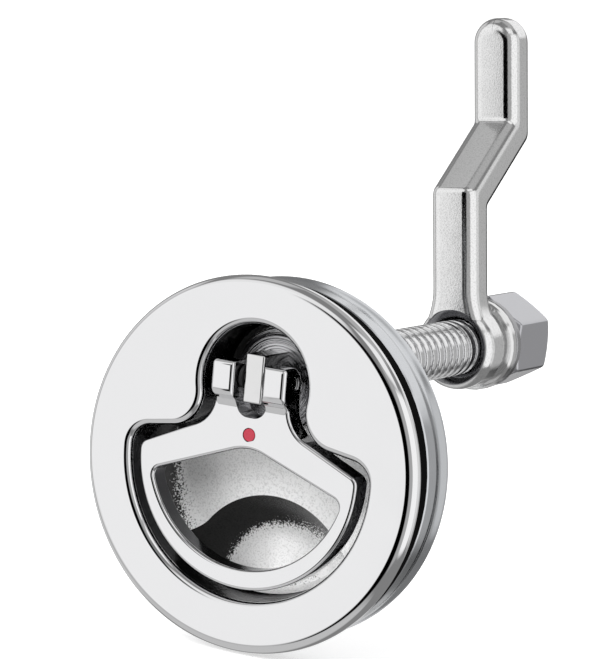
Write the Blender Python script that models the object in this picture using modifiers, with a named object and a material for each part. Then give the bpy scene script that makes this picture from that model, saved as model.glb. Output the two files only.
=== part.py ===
"""Flush lift-and-turn pull handle with an offset cam, for a hatch or a locker door.

Y is the axis of the round flange: the face looks to -Y, and Y = 0 is the back of the flange, where it
seats on the door. Z is up. The spindle runs along Y through the round lobe of the recess, above the middle
of the flange. All sizes are in metres.
"""

import math

import bmesh
import bpy

# Flange, gasket and ring nut
flange_diameter = 0.0755
flange_thickness = 0.0028
flange_edge_radius = 0.0017
gasket_thickness = 0.0044
gasket_inset = 0.0012
ring_inset = 0.0013
ring_width = 0.0094
ring_front_chamfer = 0.0004
ring_back_chamfer = 0.0010
spanner_holes = 4
spanner_hole_diameter = 0.0026
spanner_hole_depth = 0.0035

# Keyhole recess, seen from the front
bowl_rim_width = 0.01045
shoulder_drop = 0.0110
shoulder_slope = 9.0
shoulder_corner_radius = 0.0045
neck_fillet_radius = 0.0075
lobe_rim_width = 0.00945
lobe_radius = 0.0120
mouth_radius = 0.0014
cup_depth = 0.01275
cup_floor_fillet = 0.0038
bowl_floor_fillet = 0.0068
bowl_skin = 0.00005
body_wall = 0.0037
floor_wall = 0.0026
skirt_wall = 0.0025
skirt_reach = 0.0015

# Finger scoop in the floor of the bowl
scoop_mouth_share = 0.7015
scoop_depth = 0.0090
scoop_rim_gap = 0.0005
scoop_wall = 0.0025
scoop_wall_inset = 0.0001

# Pull handle
handle_thickness = 0.0050
handle_gap = 0.0024
handle_edge_radius = 0.0006
handle_slope = 24.0
handle_corner_radius = 0.0022
handle_neck_width = 0.0168
handle_neck_fillet = 0.0070
handle_neck_drop = 0.00335
handle_rim_width = 0.0025
opening_centre_height = 0.0015
opening_drop = 0.0130
opening_apex_radius = 0.0100
opening_slope = 20.0
opening_corner_radius = 0.0019
ear_rise = 0.0024
ear_radius = 0.0032
ear_fillet = 0.0028
ear_foot = 0.0061
ear_edge_radius = 0.0007
ear_front_radius = 0.0010
slot_width = 0.0068
slot_depth = 0.0078
dot_diameter = 0.0026
dot_thickness = 0.0006
dot_drop = 0.0101
dot_seat_reach = 0.0010

# Hinge pin, and the tongue it passes through
pin_diameter = 0.0030
pin_offset = 0.0011
pin_end_inset = 0.0003
pin_washer_diameter = 0.0048
pin_washer_thickness = 0.0007
tongue_width = 0.0042
tongue_length = 0.0098
tongue_edge_radius = 0.0004

# Spindle, its bearing tube and what holds it there
shank_diameter = 0.0120
spindle_head_diameter = 0.0208
spindle_head_thickness = 0.0020
spindle_head_step = 0.0008
spindle_head_step_width = 0.0012
head_pocket_lead = 0.0006
head_pocket_gap = 0.0004
head_pocket_sink = 0.0001
thrust_washer_thickness = 0.0005
tube_wall = 0.0026
tube_length = 0.0292
bush_wall = 0.0016
front_bush_length = 0.0100
seal_section = 0.0016
stop_washer_thickness = 0.0015
stop_tab_reach = 0.0016
stop_tab_angle = 24.0
stop_lug_angle = 70.0
wave_washer_thickness = 0.0005
wave_height = 0.0004
circlip_thickness = 0.0010
circlip_groove_depth = 0.0008
circlip_reach = 0.0018
circlip_opening_angle = 44.0
spindle_flat_depth = 0.0007
spindle_end_reach = 0.0020
spindle_end_chamfer = 0.0012

# Cam, washers and nut on the spindle's threaded end
cam_position = 0.0811
cam_width = 0.0108
cam_thickness = 0.0093
cam_arm_thickness = 0.0086
cam_edge_radius = 0.0028
cam_bend_radius = 0.0016
cam_lower_bend = 0.0320
cam_upper_bend = 0.0458
cam_offset = 0.0197
cam_length = 0.0703
cam_eye_diameter = 0.0184
cam_eye_countersink = 0.0021
cam_flare = 0.0016
cam_turn = -6.0
flat_washer_diameter = 0.0200
flat_washer_thickness = 0.0022
spring_washer_diameter = 0.0198
spring_washer_thickness = 0.0018
spring_washer_split = 0.0012
nut_across_flats = 0.0180
nut_height = 0.0147
nut_chamfer_angle = 30.0

# Clearances between pieces
seat_gap = 0.0003
running_gap = 0.00015
thread_gap = 0.0003
hidden_lap = 0.0006

# Facets
flange_steps = 80
shaft_steps = 32

# Stations along Y, from the face to the end of the spindle
face = -flange_thickness
flange_radius = flange_diameter / 2
bowl_radius = flange_radius - bowl_rim_width
spindle_height = flange_radius - lobe_rim_width - lobe_radius
shoulder_height = spindle_height - shoulder_drop
body_radius = bowl_radius + body_wall
gasket_front = seat_gap
gasket_back = gasket_front + gasket_thickness
ring_front = gasket_back + seat_gap
ring_back = ring_front + ring_width
skirt_back = ring_back + skirt_reach
cup_floor = face + cup_depth
floor_back = cup_floor + floor_wall
scoop_mouth_radius = scoop_mouth_share * bowl_radius
scoop_height = scoop_rim_gap - bowl_radius
shank_radius = shank_diameter / 2
bush_radius = shank_radius + running_gap + bush_wall
bore_radius = bush_radius + running_gap
tube_radius = bore_radius + tube_wall
tube_back = cup_floor + tube_length
thrust_washer_back = cup_floor - seat_gap
head_back = thrust_washer_back - thrust_washer_thickness - seat_gap
head_front = head_back - spindle_head_thickness
head_pocket_radius = spindle_head_diameter / 2 + head_pocket_gap
pin_height = spindle_height + pin_offset
pin_y = face + handle_thickness - ear_radius - hidden_lap / 20
pin_radius = pin_diameter / 2
neck_half_width = handle_neck_width / 2
handle_radius = bowl_radius - handle_gap
handle_neck_height = spindle_height - handle_neck_drop
opening_radius = handle_radius - handle_rim_width
opening_apex_height = spindle_height - opening_drop
dot_height = spindle_height - dot_drop
stop_washer_front = tube_back + seat_gap
wave_washer_front = stop_washer_front + stop_washer_thickness + seat_gap
circlip_front = wave_washer_front + wave_washer_thickness + 2 * wave_height + seat_gap
circlip_back = circlip_front + circlip_thickness
flat_washer_front = cam_position + cam_thickness + seat_gap
spring_washer_front = flat_washer_front + flat_washer_thickness + seat_gap
nut_front = spring_washer_front + spring_washer_thickness + seat_gap
nut_back = nut_front + nut_height
spindle_end = nut_back + spindle_end_reach
through = 0.002
cutter_reach = 0.060

for leftover in list(bpy.data.objects):
    bpy.data.objects.remove(leftover, do_unlink=True)


def new_collection(name):
    collection = bpy.data.collections.new(name)
    bpy.context.scene.collection.children.link(collection)
    return collection


parts = new_collection("flush_pull_handle")
cutters = new_collection("cutters")
cutters.hide_render = True


def new_material(name, colour, roughness, metallic):
    material = bpy.data.materials.new(name)
    material.use_nodes = True
    shader = material.node_tree.nodes["Principled BSDF"]
    shader.inputs["Base Color"].default_value = (*colour, 1.0)
    shader.inputs["Roughness"].default_value = roughness
    shader.inputs["Metallic"].default_value = metallic
    return material


def add_part(name, mesh, colour, roughness, metallic):
    """One named piece of the handle, with its own material."""
    piece = bpy.data.objects.new(name, mesh)
    mesh.materials.append(new_material(name, colour, roughness, metallic))
    parts.objects.link(piece)
    return piece


def add_cutter(name, mesh):
    cutter = bpy.data.objects.new(name, mesh)
    cutter.hide_render = True
    cutter.display_type = "WIRE"
    cutters.objects.link(cutter)
    return cutter


def combine(target, other, operation):
    """Adds a Boolean of the other object to the target."""
    boolean = target.modifiers.new(operation.lower() + "_" + other.name, "BOOLEAN")
    boolean.operation = operation
    boolean.solver = "EXACT"
    boolean.object = other


def cut(target, cutter):
    combine(target, cutter, "DIFFERENCE")


def join(target, other):
    combine(target, other, "UNION")


def arc(centre, radius, start, end, steps):
    """Points of an arc, both ends included, with the angles in degrees."""
    points = []
    for step in range(steps + 1):
        angle = math.radians(start + (end - start) * step / steps)
        points.append((centre[0] + radius * math.cos(angle), centre[1] + radius * math.sin(angle)))
    return points


def mirrored(half):
    """A closed outline from its right half, whose first and last points lie on the middle line."""
    return half + [(-x, z) for x, z in reversed(half[1:-1])]


def at_depth(outline, y):
    return [(x, y, z) for x, z in outline]


def lofted_mesh(name, rings, closed=False):
    """Skin over rings with equal counts of points: capped at both ends, or joined end to start if closed."""
    skin = bmesh.new()
    loops = [[skin.verts.new(point) for point in ring] for ring in rings]
    count = len(rings[0])
    pairs = list(zip(loops, loops[1:]))
    if closed:
        pairs.append((loops[-1], loops[0]))
    else:
        skin.faces.new(loops[0])
        skin.faces.new(loops[-1])
    for near, far in pairs:
        for i in range(count):
            j = (i + 1) % count
            skin.faces.new((near[i], near[j], far[j], far[i]))
    bmesh.ops.recalc_face_normals(skin, faces=skin.faces)
    mesh = bpy.data.meshes.new(name)
    skin.to_mesh(mesh)
    skin.free()
    return mesh


def turned_mesh(name, profile):
    """The outline of a turned piece, as (radius, y) points, for spin to take round the Y axis."""
    mesh = bpy.data.meshes.new(name)
    edges = [(i, i + 1) for i in range(len(profile) - 1)]
    if profile[0][0] > 0:
        edges.append((len(profile) - 1, 0))
    mesh.from_pydata([(radius, y, 0) for radius, y in profile], edges, [])
    return mesh


def spin(piece, steps):
    screw = piece.modifiers.new("turned", "SCREW")
    screw.axis = "Y"
    screw.steps = steps
    screw.render_steps = steps
    screw.use_merge_vertices = True
    screw.merge_threshold = 0.00001
    screw.use_normal_flip = True
    return piece


def plate_mesh(name, outline, thickness):
    """A flat plate in the XY plane, centred on it: a filled 2D curve with a thickness, made a mesh."""
    curve = bpy.data.curves.new(name, "CURVE")
    curve.dimensions = "2D"
    curve.fill_mode = "BOTH"
    curve.extrude = thickness / 2
    spline = curve.splines.new("POLY")
    spline.points.add(len(outline) - 1)
    for point, (x, y) in zip(spline.points, outline):
        point.co = (x, y, 0, 1)
    spline.use_cyclic_u = True
    guide = bpy.data.objects.new(name, curve)
    bpy.context.scene.collection.objects.link(guide)
    graph = bpy.context.evaluated_depsgraph_get()
    mesh = bpy.data.meshes.new_from_object(guide.evaluated_get(graph))
    bpy.data.objects.remove(guide)
    welded = bmesh.new()
    welded.from_mesh(mesh)
    bmesh.ops.remove_doubles(welded, verts=welded.verts, dist=0.000001)
    bmesh.ops.recalc_face_normals(welded, faces=welded.faces)
    welded.to_mesh(mesh)
    welded.free()
    return mesh


def cylinder_mesh(name, radius, depth, steps):
    solid = bmesh.new()
    bmesh.ops.create_cone(
        solid, cap_ends=True, segments=steps, radius1=radius, radius2=radius, depth=depth
    )
    mesh = bpy.data.meshes.new(name)
    solid.to_mesh(mesh)
    solid.free()
    return mesh


def box_mesh(name, size):
    solid = bmesh.new()
    bmesh.ops.create_cube(solid, size=1)
    bmesh.ops.scale(solid, vec=size, verts=solid.verts)
    mesh = bpy.data.meshes.new(name)
    solid.to_mesh(mesh)
    solid.free()
    return mesh


def on_spindle(piece, y=0.0, turn=0.0):
    """Puts a piece on the spindle's axis at a station along it."""
    piece.location = (0, y, spindle_height)
    piece.rotation_euler = (0, math.radians(turn), 0)
    return piece


def laid_along_y(piece, y, height, x=0.0):
    """Turns a piece made along Z to lie along Y."""
    piece.rotation_euler = (math.pi / 2, 0, 0)
    piece.location = (x, y, height)
    return piece


def laid_along_x(piece, x, y, height):
    """Turns a piece made along Z to lie along X."""
    piece.rotation_euler = (0, math.pi / 2, 0)
    piece.location = (x, y, height)
    return piece


def washer_profile(inner, outer, front, back, chamfer=0.0):
    """Section of a flat ring, with its outer edges chamfered."""
    if chamfer <= 0:
        return [(inner, front), (outer, front), (outer, back), (inner, back)]
    return [
        (inner, front),
        (outer - chamfer, front),
        (outer, front + chamfer),
        (outer, back - chamfer),
        (outer - chamfer, back),
        (inner, back),
    ]


def smooth(piece, angle=35):
    piece.data.shade_smooth()
    piece.data.set_sharp_from_angle(angle=math.radians(angle))
    return piece


def recess_half(inset):
    """Right half of the keyhole: lobe, neck, shoulder and bowl, each tangent to the next at any inset."""
    neck_z = shoulder_height + neck_fillet_radius
    neck_x = math.sqrt((lobe_radius + neck_fillet_radius) ** 2 - (spindle_height - neck_z) ** 2)
    neck_turn = math.degrees(math.atan2(neck_z - spindle_height, neck_x))
    offset = neck_fillet_radius + shoulder_corner_radius
    reach = bowl_radius - shoulder_corner_radius
    horn = inside_corner((neck_x, neck_z), shoulder_slope, offset, (0, 0), reach)
    bowl_turn = math.degrees(math.atan2(horn[1], horn[0]))
    lobe = arc((0, spindle_height), lobe_radius - inset, 90, neck_turn, 14)
    neck = arc((neck_x, neck_z), neck_fillet_radius + inset, neck_turn + 180, 270 - shoulder_slope, 8)
    corner = arc(horn, shoulder_corner_radius - inset, 90 - shoulder_slope, bowl_turn, 6)
    bowl = arc((0, 0), bowl_radius - inset, bowl_turn, -90, 18)
    return lobe + neck[1:] + corner + bowl[1:]


def inside_corner(start, slope, offset, centre, reach):
    """Centre of a corner arc, offset below a falling line and at a given reach from the bowl's centre."""
    angle = math.radians(slope)
    x = start[0] - offset * math.sin(angle)
    z = start[1] - offset * math.cos(angle)
    along = (math.cos(angle), -math.sin(angle))
    b = (x - centre[0]) * along[0] + (z - centre[1]) * along[1]
    c = (x - centre[0]) ** 2 + (z - centre[1]) ** 2 - reach**2
    distance = -b + math.sqrt(b * b - c)
    return x + distance * along[0], z + distance * along[1]


def handle_half(inset):
    """Right half of the handle's outer edge, up to the ears: neck, sloping shoulder, corner and bowl."""
    neck_centre = (neck_half_width + handle_neck_fillet, handle_neck_height)
    corner = inside_corner(
        neck_centre,
        handle_slope,
        handle_neck_fillet + handle_corner_radius,
        (0, 0),
        handle_radius - handle_corner_radius,
    )
    bowl_turn = math.degrees(math.atan2(corner[1], corner[0]))
    top = handle_neck_height + hidden_lap
    return (
        [(0, top), (neck_half_width - hidden_lap, top)]
        + arc(neck_centre, handle_neck_fillet + inset, 180, 270 - handle_slope, 9)
        + arc(corner, handle_corner_radius - inset, 90 - handle_slope, bowl_turn, 6)
        + arc((0, 0), handle_radius - inset, bowl_turn, -90, 18)[1:]
    )


def opening_half(grow):
    """Right half of the finger opening: roof, corner and bowl."""
    rise = opening_apex_radius * (1 / math.cos(math.radians(opening_slope)) - 1)
    ridge = (0, opening_apex_height + rise)
    roof_centre = (0, opening_apex_height - opening_apex_radius)
    bowl_centre = (0, opening_centre_height)
    corner = inside_corner(
        ridge, opening_slope, opening_corner_radius, bowl_centre, opening_radius - opening_corner_radius
    )
    bowl_turn = math.degrees(math.atan2(corner[1] - bowl_centre[1], corner[0]))
    return (
        arc(roof_centre, opening_apex_radius + grow, 90, 90 - opening_slope, 4)
        + arc(corner, opening_corner_radius + grow, 90 - opening_slope, bowl_turn, 6)
        + arc(bowl_centre, opening_radius + grow, bowl_turn, -90, 18)[1:]
    )


def make_housing():
    """Cast flange and cup in one piece, with the finger scoop and the spindle's bearing tube."""
    edge_centre = (flange_radius - flange_edge_radius, face + flange_edge_radius)
    edge = arc(edge_centre, flange_edge_radius, -90, 0, 6)
    back_edge = 0.0004
    profile = (
        [(0, face)]
        + edge
        + [
            (flange_radius, -back_edge),
            (flange_radius - back_edge, 0),
            (body_radius, 0),
            (body_radius, skirt_back),
            (body_radius - skirt_wall, skirt_back),
            (body_radius - skirt_wall, floor_back),
            (0, floor_back),
        ]
    )
    housing = add_part("housing", turned_mesh("housing", profile), (0.80, 0.80, 0.80), 0.10, 1.0)
    spin(housing, flange_steps)

    scoop_radius = (scoop_mouth_radius**2 + scoop_depth**2) / (2 * scoop_depth)
    scoop_y = cup_floor + scoop_depth - scoop_radius
    shell = scoop_ball("scoop_shell", scoop_radius + scoop_wall, scoop_y, 26)
    limit_mesh = cylinder_mesh("scoop_limit", body_radius - through / 10, cutter_reach, flange_steps)
    skirt_bore = add_cutter("scoop_limit", limit_mesh)
    combine(shell, laid_along_y(skirt_bore, cup_floor + cutter_reach / 2, 0), "INTERSECT")
    join(housing, shell)

    tube_reach = tube_back - cup_floor - through / 2
    tube = add_cutter("tube", cylinder_mesh("tube", tube_radius, tube_reach, 40))
    laid_along_y(tube, tube_back - tube_reach / 2, spindle_height)
    join(housing, tube)
    join(housing, stop_lug())

    cut(housing, recess_cutter())
    pocket_length = cup_floor - head_front + head_pocket_lead
    pocket_mesh = cylinder_mesh("head_pocket", head_pocket_radius, pocket_length, 48)
    pocket = add_cutter("head_pocket", pocket_mesh)
    cut(housing, laid_along_y(pocket, cup_floor + head_pocket_sink - pocket_length / 2, spindle_height))
    scoop = scoop_ball("scoop", scoop_radius, scoop_y, 38)
    walls = mirrored(recess_half(scoop_wall_inset))
    sections = [at_depth(walls, cup_floor - through), at_depth(walls, cup_floor + cutter_reach)]
    prism = lofted_mesh("scoop_walls", sections)
    combine(scoop, add_cutter("scoop_walls", prism), "INTERSECT")
    cut(housing, scoop)

    bore = add_cutter("bore", cylinder_mesh("bore", bore_radius, 2 * tube_length + through, shaft_steps))
    cut(housing, laid_along_y(bore, tube_back, spindle_height))
    return housing


def scoop_ball(name, radius, y, steps):
    ball = bmesh.new()
    bmesh.ops.create_uvsphere(ball, u_segments=steps, v_segments=steps, radius=radius)
    mesh = bpy.data.meshes.new(name)
    ball.to_mesh(mesh)
    ball.free()
    return laid_along_y(add_cutter(name, mesh), y, scoop_height)


def recess_cutter():
    """The keyhole cavity: a rolled mouth, straight walls and a filleted floor."""
    rings = [(face - through, -mouth_radius)]
    for turn in (0, 30, 60, 90):
        angle = math.radians(turn)
        rings.append((face + mouth_radius * (1 - math.cos(angle)), -mouth_radius * (1 - math.sin(angle))))
    wall_end = cup_floor - cup_floor_fillet
    for turn in (0, 18, 36, 54, 72, 90):
        angle = math.radians(turn)
        inset = cup_floor_fillet * (1 - math.cos(angle))
        rings.append((wall_end + cup_floor_fillet * math.sin(angle), inset))
    sections = [at_depth(mirrored(recess_half(inset)), y) for y, inset in rings]
    recess = add_cutter("recess", lofted_mesh("recess", sections))
    combine(recess, bowl_limit(), "INTERSECT")
    return recess


def bowl_limit():
    """The turned form of the bowl's floor, with its wide fillet, open at the mouth and round the spindle."""
    wide = flange_radius
    wall = bowl_radius + bowl_skin
    floor = cup_floor + bowl_skin
    bend = arc((wall - bowl_floor_fillet, floor - bowl_floor_fillet), bowl_floor_fillet, 0, 90, 5)
    shelf = floor - bowl_floor_fillet
    profile = [(0, face - 2 * through), (wide, face - 2 * through), (wide, shelf)] + bend + [(0, floor)]
    limit = spin(add_cutter("bowl_limit", turned_mesh("bowl_limit", profile)), 64)
    length = floor - shelf + 2 * through
    clear = add_cutter("lobe_clear", cylinder_mesh("lobe_clear", lobe_radius + mouth_radius, length, 48))
    join(limit, laid_along_y(clear, floor + through - length / 2, spindle_height))
    return limit


def stop_lug():
    """Raised sector on the tube's end, which the stop washer's tab meets after a quarter turn."""
    inner = tube_radius - stop_tab_reach
    half_angle = stop_lug_angle / 2
    outline = arc((0, 0), tube_radius, -half_angle, half_angle, 8)
    outline += arc((0, 0), inner, half_angle, -half_angle, 8)
    height = stop_washer_thickness + seat_gap + through / 2
    lug = add_cutter("stop_lug", plate_mesh("stop_lug", outline, height))
    lug.rotation_euler = (math.pi / 2, 0, 0)
    lug.location = (0, tube_back + stop_washer_thickness + seat_gap - height / 2, spindle_height)
    return lug


def make_gasket():
    outer = flange_radius - gasket_inset
    profile = washer_profile(body_radius + seat_gap, outer, gasket_front, gasket_back)
    mesh = turned_mesh("flange_gasket", profile)
    gasket = add_part("flange_gasket", mesh, (0.01, 0.01, 0.01), 0.7, 0.0)
    return spin(gasket, flange_steps)


def make_ring_nut():
    """Ring that screws up the cup from behind and clamps the door against the flange."""
    outer = flange_radius - ring_inset
    inner = body_radius + thread_gap
    profile = [
        (inner, ring_front),
        (outer - ring_front_chamfer, ring_front),
        (outer, ring_front + ring_front_chamfer),
        (outer, ring_back - ring_back_chamfer),
        (outer - ring_back_chamfer, ring_back),
        (inner, ring_back),
    ]
    ring = add_part("ring_nut", turned_mesh("ring_nut", profile), (0.62, 0.62, 0.62), 0.30, 1.0)
    spin(ring, flange_steps)
    middle = (inner + outer) / 2
    for index in range(spanner_holes):
        angle = math.radians(45 + 360 * index / spanner_holes)
        hole = add_cutter(
            f"spanner_hole_{index + 1}",
            cylinder_mesh("spanner_hole", spanner_hole_diameter / 2, 2 * spanner_hole_depth, 16),
        )
        laid_along_y(hole, ring_back, middle * math.cos(angle), middle * math.sin(angle))
        cut(ring, hole)
    return ring


def ear_outline(inset):
    """Side of the ears as (y, z) points: a proud front on a fillet, and a round back about the pin."""
    front = face - ear_rise
    top = pin_height + ear_radius
    foot = pin_height - ear_foot
    skin = hidden_lap / 20
    sweep = math.degrees(math.acos(1 - min((ear_rise + skin) / ear_fillet, 1)))
    fillet = arc((face + skin - ear_fillet, foot), ear_fillet + inset, 0, sweep, 6)
    corner = arc((front + ear_front_radius, top - ear_front_radius), ear_front_radius - inset, 180, 90, 4)
    back = arc((pin_y, pin_height), ear_radius - inset, 90, 0, 7)
    return fillet + corner + back + [(pin_y + ear_radius - inset, foot)]


def ear_block():
    """The two ears in one block across the handle, rounded at its sides."""
    sections = []
    for side, turns in ((-1, (90, 60, 30, 0)), (1, (0, 30, 60, 90))):
        for turn in turns:
            angle = math.radians(turn)
            inset = ear_edge_radius * (1 - math.cos(angle))
            x = side * (neck_half_width - ear_edge_radius * (1 - math.sin(angle)))
            sections.append([(x, y, z) for y, z in ear_outline(inset)])
    return add_cutter("ears", lofted_mesh("ears", sections))


def make_handle():
    """D-shaped pull with two hinge ears, lying flush in the recess. Its origin is on the hinge axis."""
    origin = (0, pin_y, pin_height)
    rings = rounded_edge(face, handle_edge_radius, 1)
    back = face + handle_thickness
    rings += [(back - handle_edge_radius, 0), (back, handle_edge_radius)]
    sections = [at_depth(mirrored(handle_half(inset)), y) for y, inset in rings]
    mesh = from_origin(lofted_mesh("handle", sections), origin)
    handle = add_part("handle", mesh, (0.8, 0.8, 0.8), 0.10, 1.0)
    handle.location = origin
    join(handle, ear_block())
    cut(handle, opening_cutter())
    cut(handle, slot_cutter())
    bore_mesh = cylinder_mesh("ear_bore", pin_radius + running_gap, 2 * handle_neck_width, 24)
    cut(handle, laid_along_x(add_cutter("ear_bore", bore_mesh), 0, pin_y, pin_height))
    seat_mesh = cylinder_mesh("dot_seat", dot_diameter / 2 + running_gap, 2 * dot_seat_reach, 24)
    seat_y = face + dot_thickness + seat_gap - dot_seat_reach
    cut(handle, laid_along_y(add_cutter("dot_seat", seat_mesh), seat_y, dot_height))
    return handle


def rounded_edge(front, radius, sign):
    """Stations of a rounded front edge, as (y, inset)."""
    stations = []
    for turn in (0, 30, 60, 90):
        angle = math.radians(turn)
        stations.append((front + radius * (1 - math.cos(angle)), sign * radius * (1 - math.sin(angle))))
    return stations


def from_origin(mesh, origin):
    """Moves a mesh so that an object placed at the origin shows it where it was."""
    for vertex in mesh.vertices:
        vertex.co.x -= origin[0]
        vertex.co.y -= origin[1]
        vertex.co.z -= origin[2]
    return mesh


def opening_cutter():
    back = face + handle_thickness
    rings = [(face - through, handle_edge_radius)]
    rings += rounded_edge(face, handle_edge_radius, 1)
    rings += [(back - handle_edge_radius, 0), (back, handle_edge_radius)]
    rings += [(back + through, handle_edge_radius)]
    sections = [at_depth(mirrored(opening_half(grow)), y) for y, grow in rings]
    return add_cutter("opening", lofted_mesh("opening", sections))


def slot_cutter():
    """Slot between the ears, with rounded corners at its foot, that the tongue stands in."""
    half = slot_width / 2
    corner = 0.4 * slot_width
    foot = pin_height - slot_depth
    outline = arc((half - corner, foot + corner), corner, 0, -90, 5)
    outline += arc((corner - half, foot + corner), corner, -90, -180, 5)
    outline += [(-half, pin_height + 2 * ear_radius), (half, pin_height + 2 * ear_radius)]
    sections = [at_depth(outline, face - 2 * ear_rise), at_depth(outline, face + 2 * handle_thickness)]
    return add_cutter("slot", lofted_mesh("slot", sections))


def make_index_dot(handle):
    """Round enamel dot let into the handle under the slot."""
    mesh = cylinder_mesh("index_dot", dot_diameter / 2, dot_thickness, 24)
    dot = add_part("index_dot", mesh, (0.60, 0.03, 0.05), 0.3, 0.0)
    dot.parent = handle
    laid_along_y(dot, face + dot_thickness / 2 - pin_y, dot_height - pin_height)
    return dot


def make_hinge_pin():
    length = handle_neck_width - 2 * pin_end_inset
    mesh = cylinder_mesh("hinge_pin", pin_radius, length, 24)
    pin = add_part("hinge_pin", mesh, (0.7, 0.7, 0.7), 0.25, 1.0)
    return laid_along_x(pin, 0, pin_y, pin_height)


def make_pin_washer(side):
    """Spacer between the tongue and an ear."""
    name = "pin_washer_right" if side > 0 else "pin_washer_left"
    profile = washer_profile(
        pin_radius + running_gap, pin_washer_diameter / 2, -pin_washer_thickness / 2, pin_washer_thickness / 2
    )
    washer = spin(add_part(name, turned_mesh(name, profile), (0.02, 0.02, 0.02), 0.5, 0.0), 20)
    middle = (tongue_width / 2 + slot_width / 2) / 2
    washer.rotation_euler = (0, 0, math.pi / 2)
    washer.location = (side * middle, pin_y, pin_height)
    return washer


def make_spindle():
    """Turned head and threaded shank, with the tongue for the hinge pin. The thread is drawn plain."""
    head = spindle_head_diameter / 2
    step = head - spindle_head_step_width
    chamfer = 0.0003
    groove = shank_radius - circlip_groove_depth
    groove_front = circlip_front - seat_gap
    groove_back = circlip_back + seat_gap
    profile = [
        (0, head_front),
        (step - chamfer, head_front),
        (step, head_front + chamfer),
        (step, head_front + spindle_head_step),
        (head - chamfer, head_front + spindle_head_step),
        (head, head_front + spindle_head_step + chamfer),
        (head, head_back),
        (shank_radius, head_back),
        (shank_radius, groove_front),
        (groove, groove_front),
        (groove, groove_back),
        (shank_radius, groove_back),
        (shank_radius, spindle_end - spindle_end_chamfer),
        (shank_radius - spindle_end_chamfer, spindle_end),
        (0, spindle_end),
    ]
    spindle = add_part("spindle", turned_mesh("spindle", profile), (0.62, 0.62, 0.62), 0.25, 1.0)
    on_spindle(spin(spindle, shaft_steps))
    length = head_front - face + through / 4
    tongue = add_cutter("tongue", box_mesh("tongue", (tongue_width, length, tongue_length)))
    tongue.location = (0, face + length / 2, pin_height)
    edges = tongue.modifiers.new("edges", "BEVEL")
    edges.width = tongue_edge_radius
    edges.segments = 2
    join(spindle, tongue)
    bore_mesh = cylinder_mesh("tongue_bore", pin_radius + running_gap, 2 * tongue_width, 24)
    cut(spindle, laid_along_x(add_cutter("tongue_bore", bore_mesh), 0, pin_y, pin_height))
    flat_mesh = box_mesh("spindle_flat", (shank_radius, spindle_end, shank_diameter))
    flat = add_cutter("spindle_flat", flat_mesh)
    flat_x = -shank_radius + spindle_flat_depth - shank_radius / 2
    flat.location = (flat_x, tube_back + spindle_end / 2, spindle_height)
    cut(spindle, flat)
    return spindle


def make_spindle_rings():
    """What the spindle turns in: thrust washer, two bushes and the shaft seal between them."""
    inner = shank_radius + running_gap
    thrust = washer_profile(
        inner + seat_gap,
        spindle_head_diameter / 2,
        thrust_washer_back - thrust_washer_thickness,
        thrust_washer_back,
    )
    front_back = cup_floor + front_bush_length
    seal_middle = front_back + seat_gap + seal_section / 2
    rear_front = seal_middle + seal_section / 2 + seat_gap
    front = washer_profile(inner, bush_radius, cup_floor, front_back)
    rear = washer_profile(inner, bush_radius, rear_front, tube_back - seat_gap)
    seal_centre = (inner + seal_section / 2, seal_middle)
    seal = arc(seal_centre, seal_section / 2, -90, 270, 6)[:-1]
    rings = (
        ("thrust_washer", thrust, (0.85, 0.85, 0.82), 0.4, 0.0),
        ("front_bush", front, (0.55, 0.38, 0.16), 0.35, 1.0),
        ("shaft_seal", seal, (0.01, 0.01, 0.01), 0.6, 0.0),
        ("rear_bush", rear, (0.55, 0.38, 0.16), 0.35, 1.0),
    )
    for name, profile, colour, roughness, metallic in rings:
        ring = add_part(name, turned_mesh(name, profile), colour, roughness, metallic)
        on_spindle(spin(ring, shaft_steps))


def d_shaped_hole(radius, flat_x, steps):
    """Round hole with a flat on its -X side, listed clockwise."""
    half = math.degrees(math.acos(min(flat_x / radius, 1)))
    return arc((0, 0), radius, 180 - half, half - 180, steps)


def make_stop_washer():
    """Washer keyed to the spindle's flat, with a tab that limits the turn."""
    outer = tube_radius - stop_tab_reach - seat_gap
    half = stop_tab_angle / 2
    outline = arc((0, 0), outer, half + 90, 450 - half, 28)
    outline += arc((0, 0), tube_radius, 90 - half, 90 + half, 4)
    mesh = plate_mesh("stop_washer", outline, stop_washer_thickness)
    washer = add_part("stop_washer", mesh, (0.6, 0.6, 0.6), 0.35, 1.0)
    laid_along_y(washer, stop_washer_front + stop_washer_thickness / 2, spindle_height)
    hole_outline = d_shaped_hole(
        shank_radius + running_gap, shank_radius - spindle_flat_depth + running_gap, shaft_steps
    )
    hole_mesh = plate_mesh("stop_washer_hole", hole_outline, 4 * stop_washer_thickness)
    hole = add_cutter("stop_washer_hole", hole_mesh)
    cut(washer, laid_along_y(hole, stop_washer_front + stop_washer_thickness / 2, spindle_height))
    return washer


def make_wave_washer():
    """Spring steel ring with three waves, which takes up the spindle's end play."""
    inner = shank_radius + seat_gap
    outer = tube_radius - stop_tab_reach - seat_gap
    middle = wave_washer_front + wave_washer_thickness / 2 + wave_height
    sections = []
    count = 36
    for index in range(count):
        angle = 2 * math.pi * index / count
        y = middle + wave_height * math.cos(3 * angle)
        sections.append(
            [
                (radius * math.cos(angle), y + side * wave_washer_thickness / 2, radius * math.sin(angle))
                for radius, side in ((inner, -1), (outer, -1), (outer, 1), (inner, 1))
            ]
        )
    mesh = lofted_mesh("wave_washer", sections, closed=True)
    return on_spindle(add_part("wave_washer", mesh, (0.5, 0.5, 0.5), 0.35, 1.0))


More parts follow.
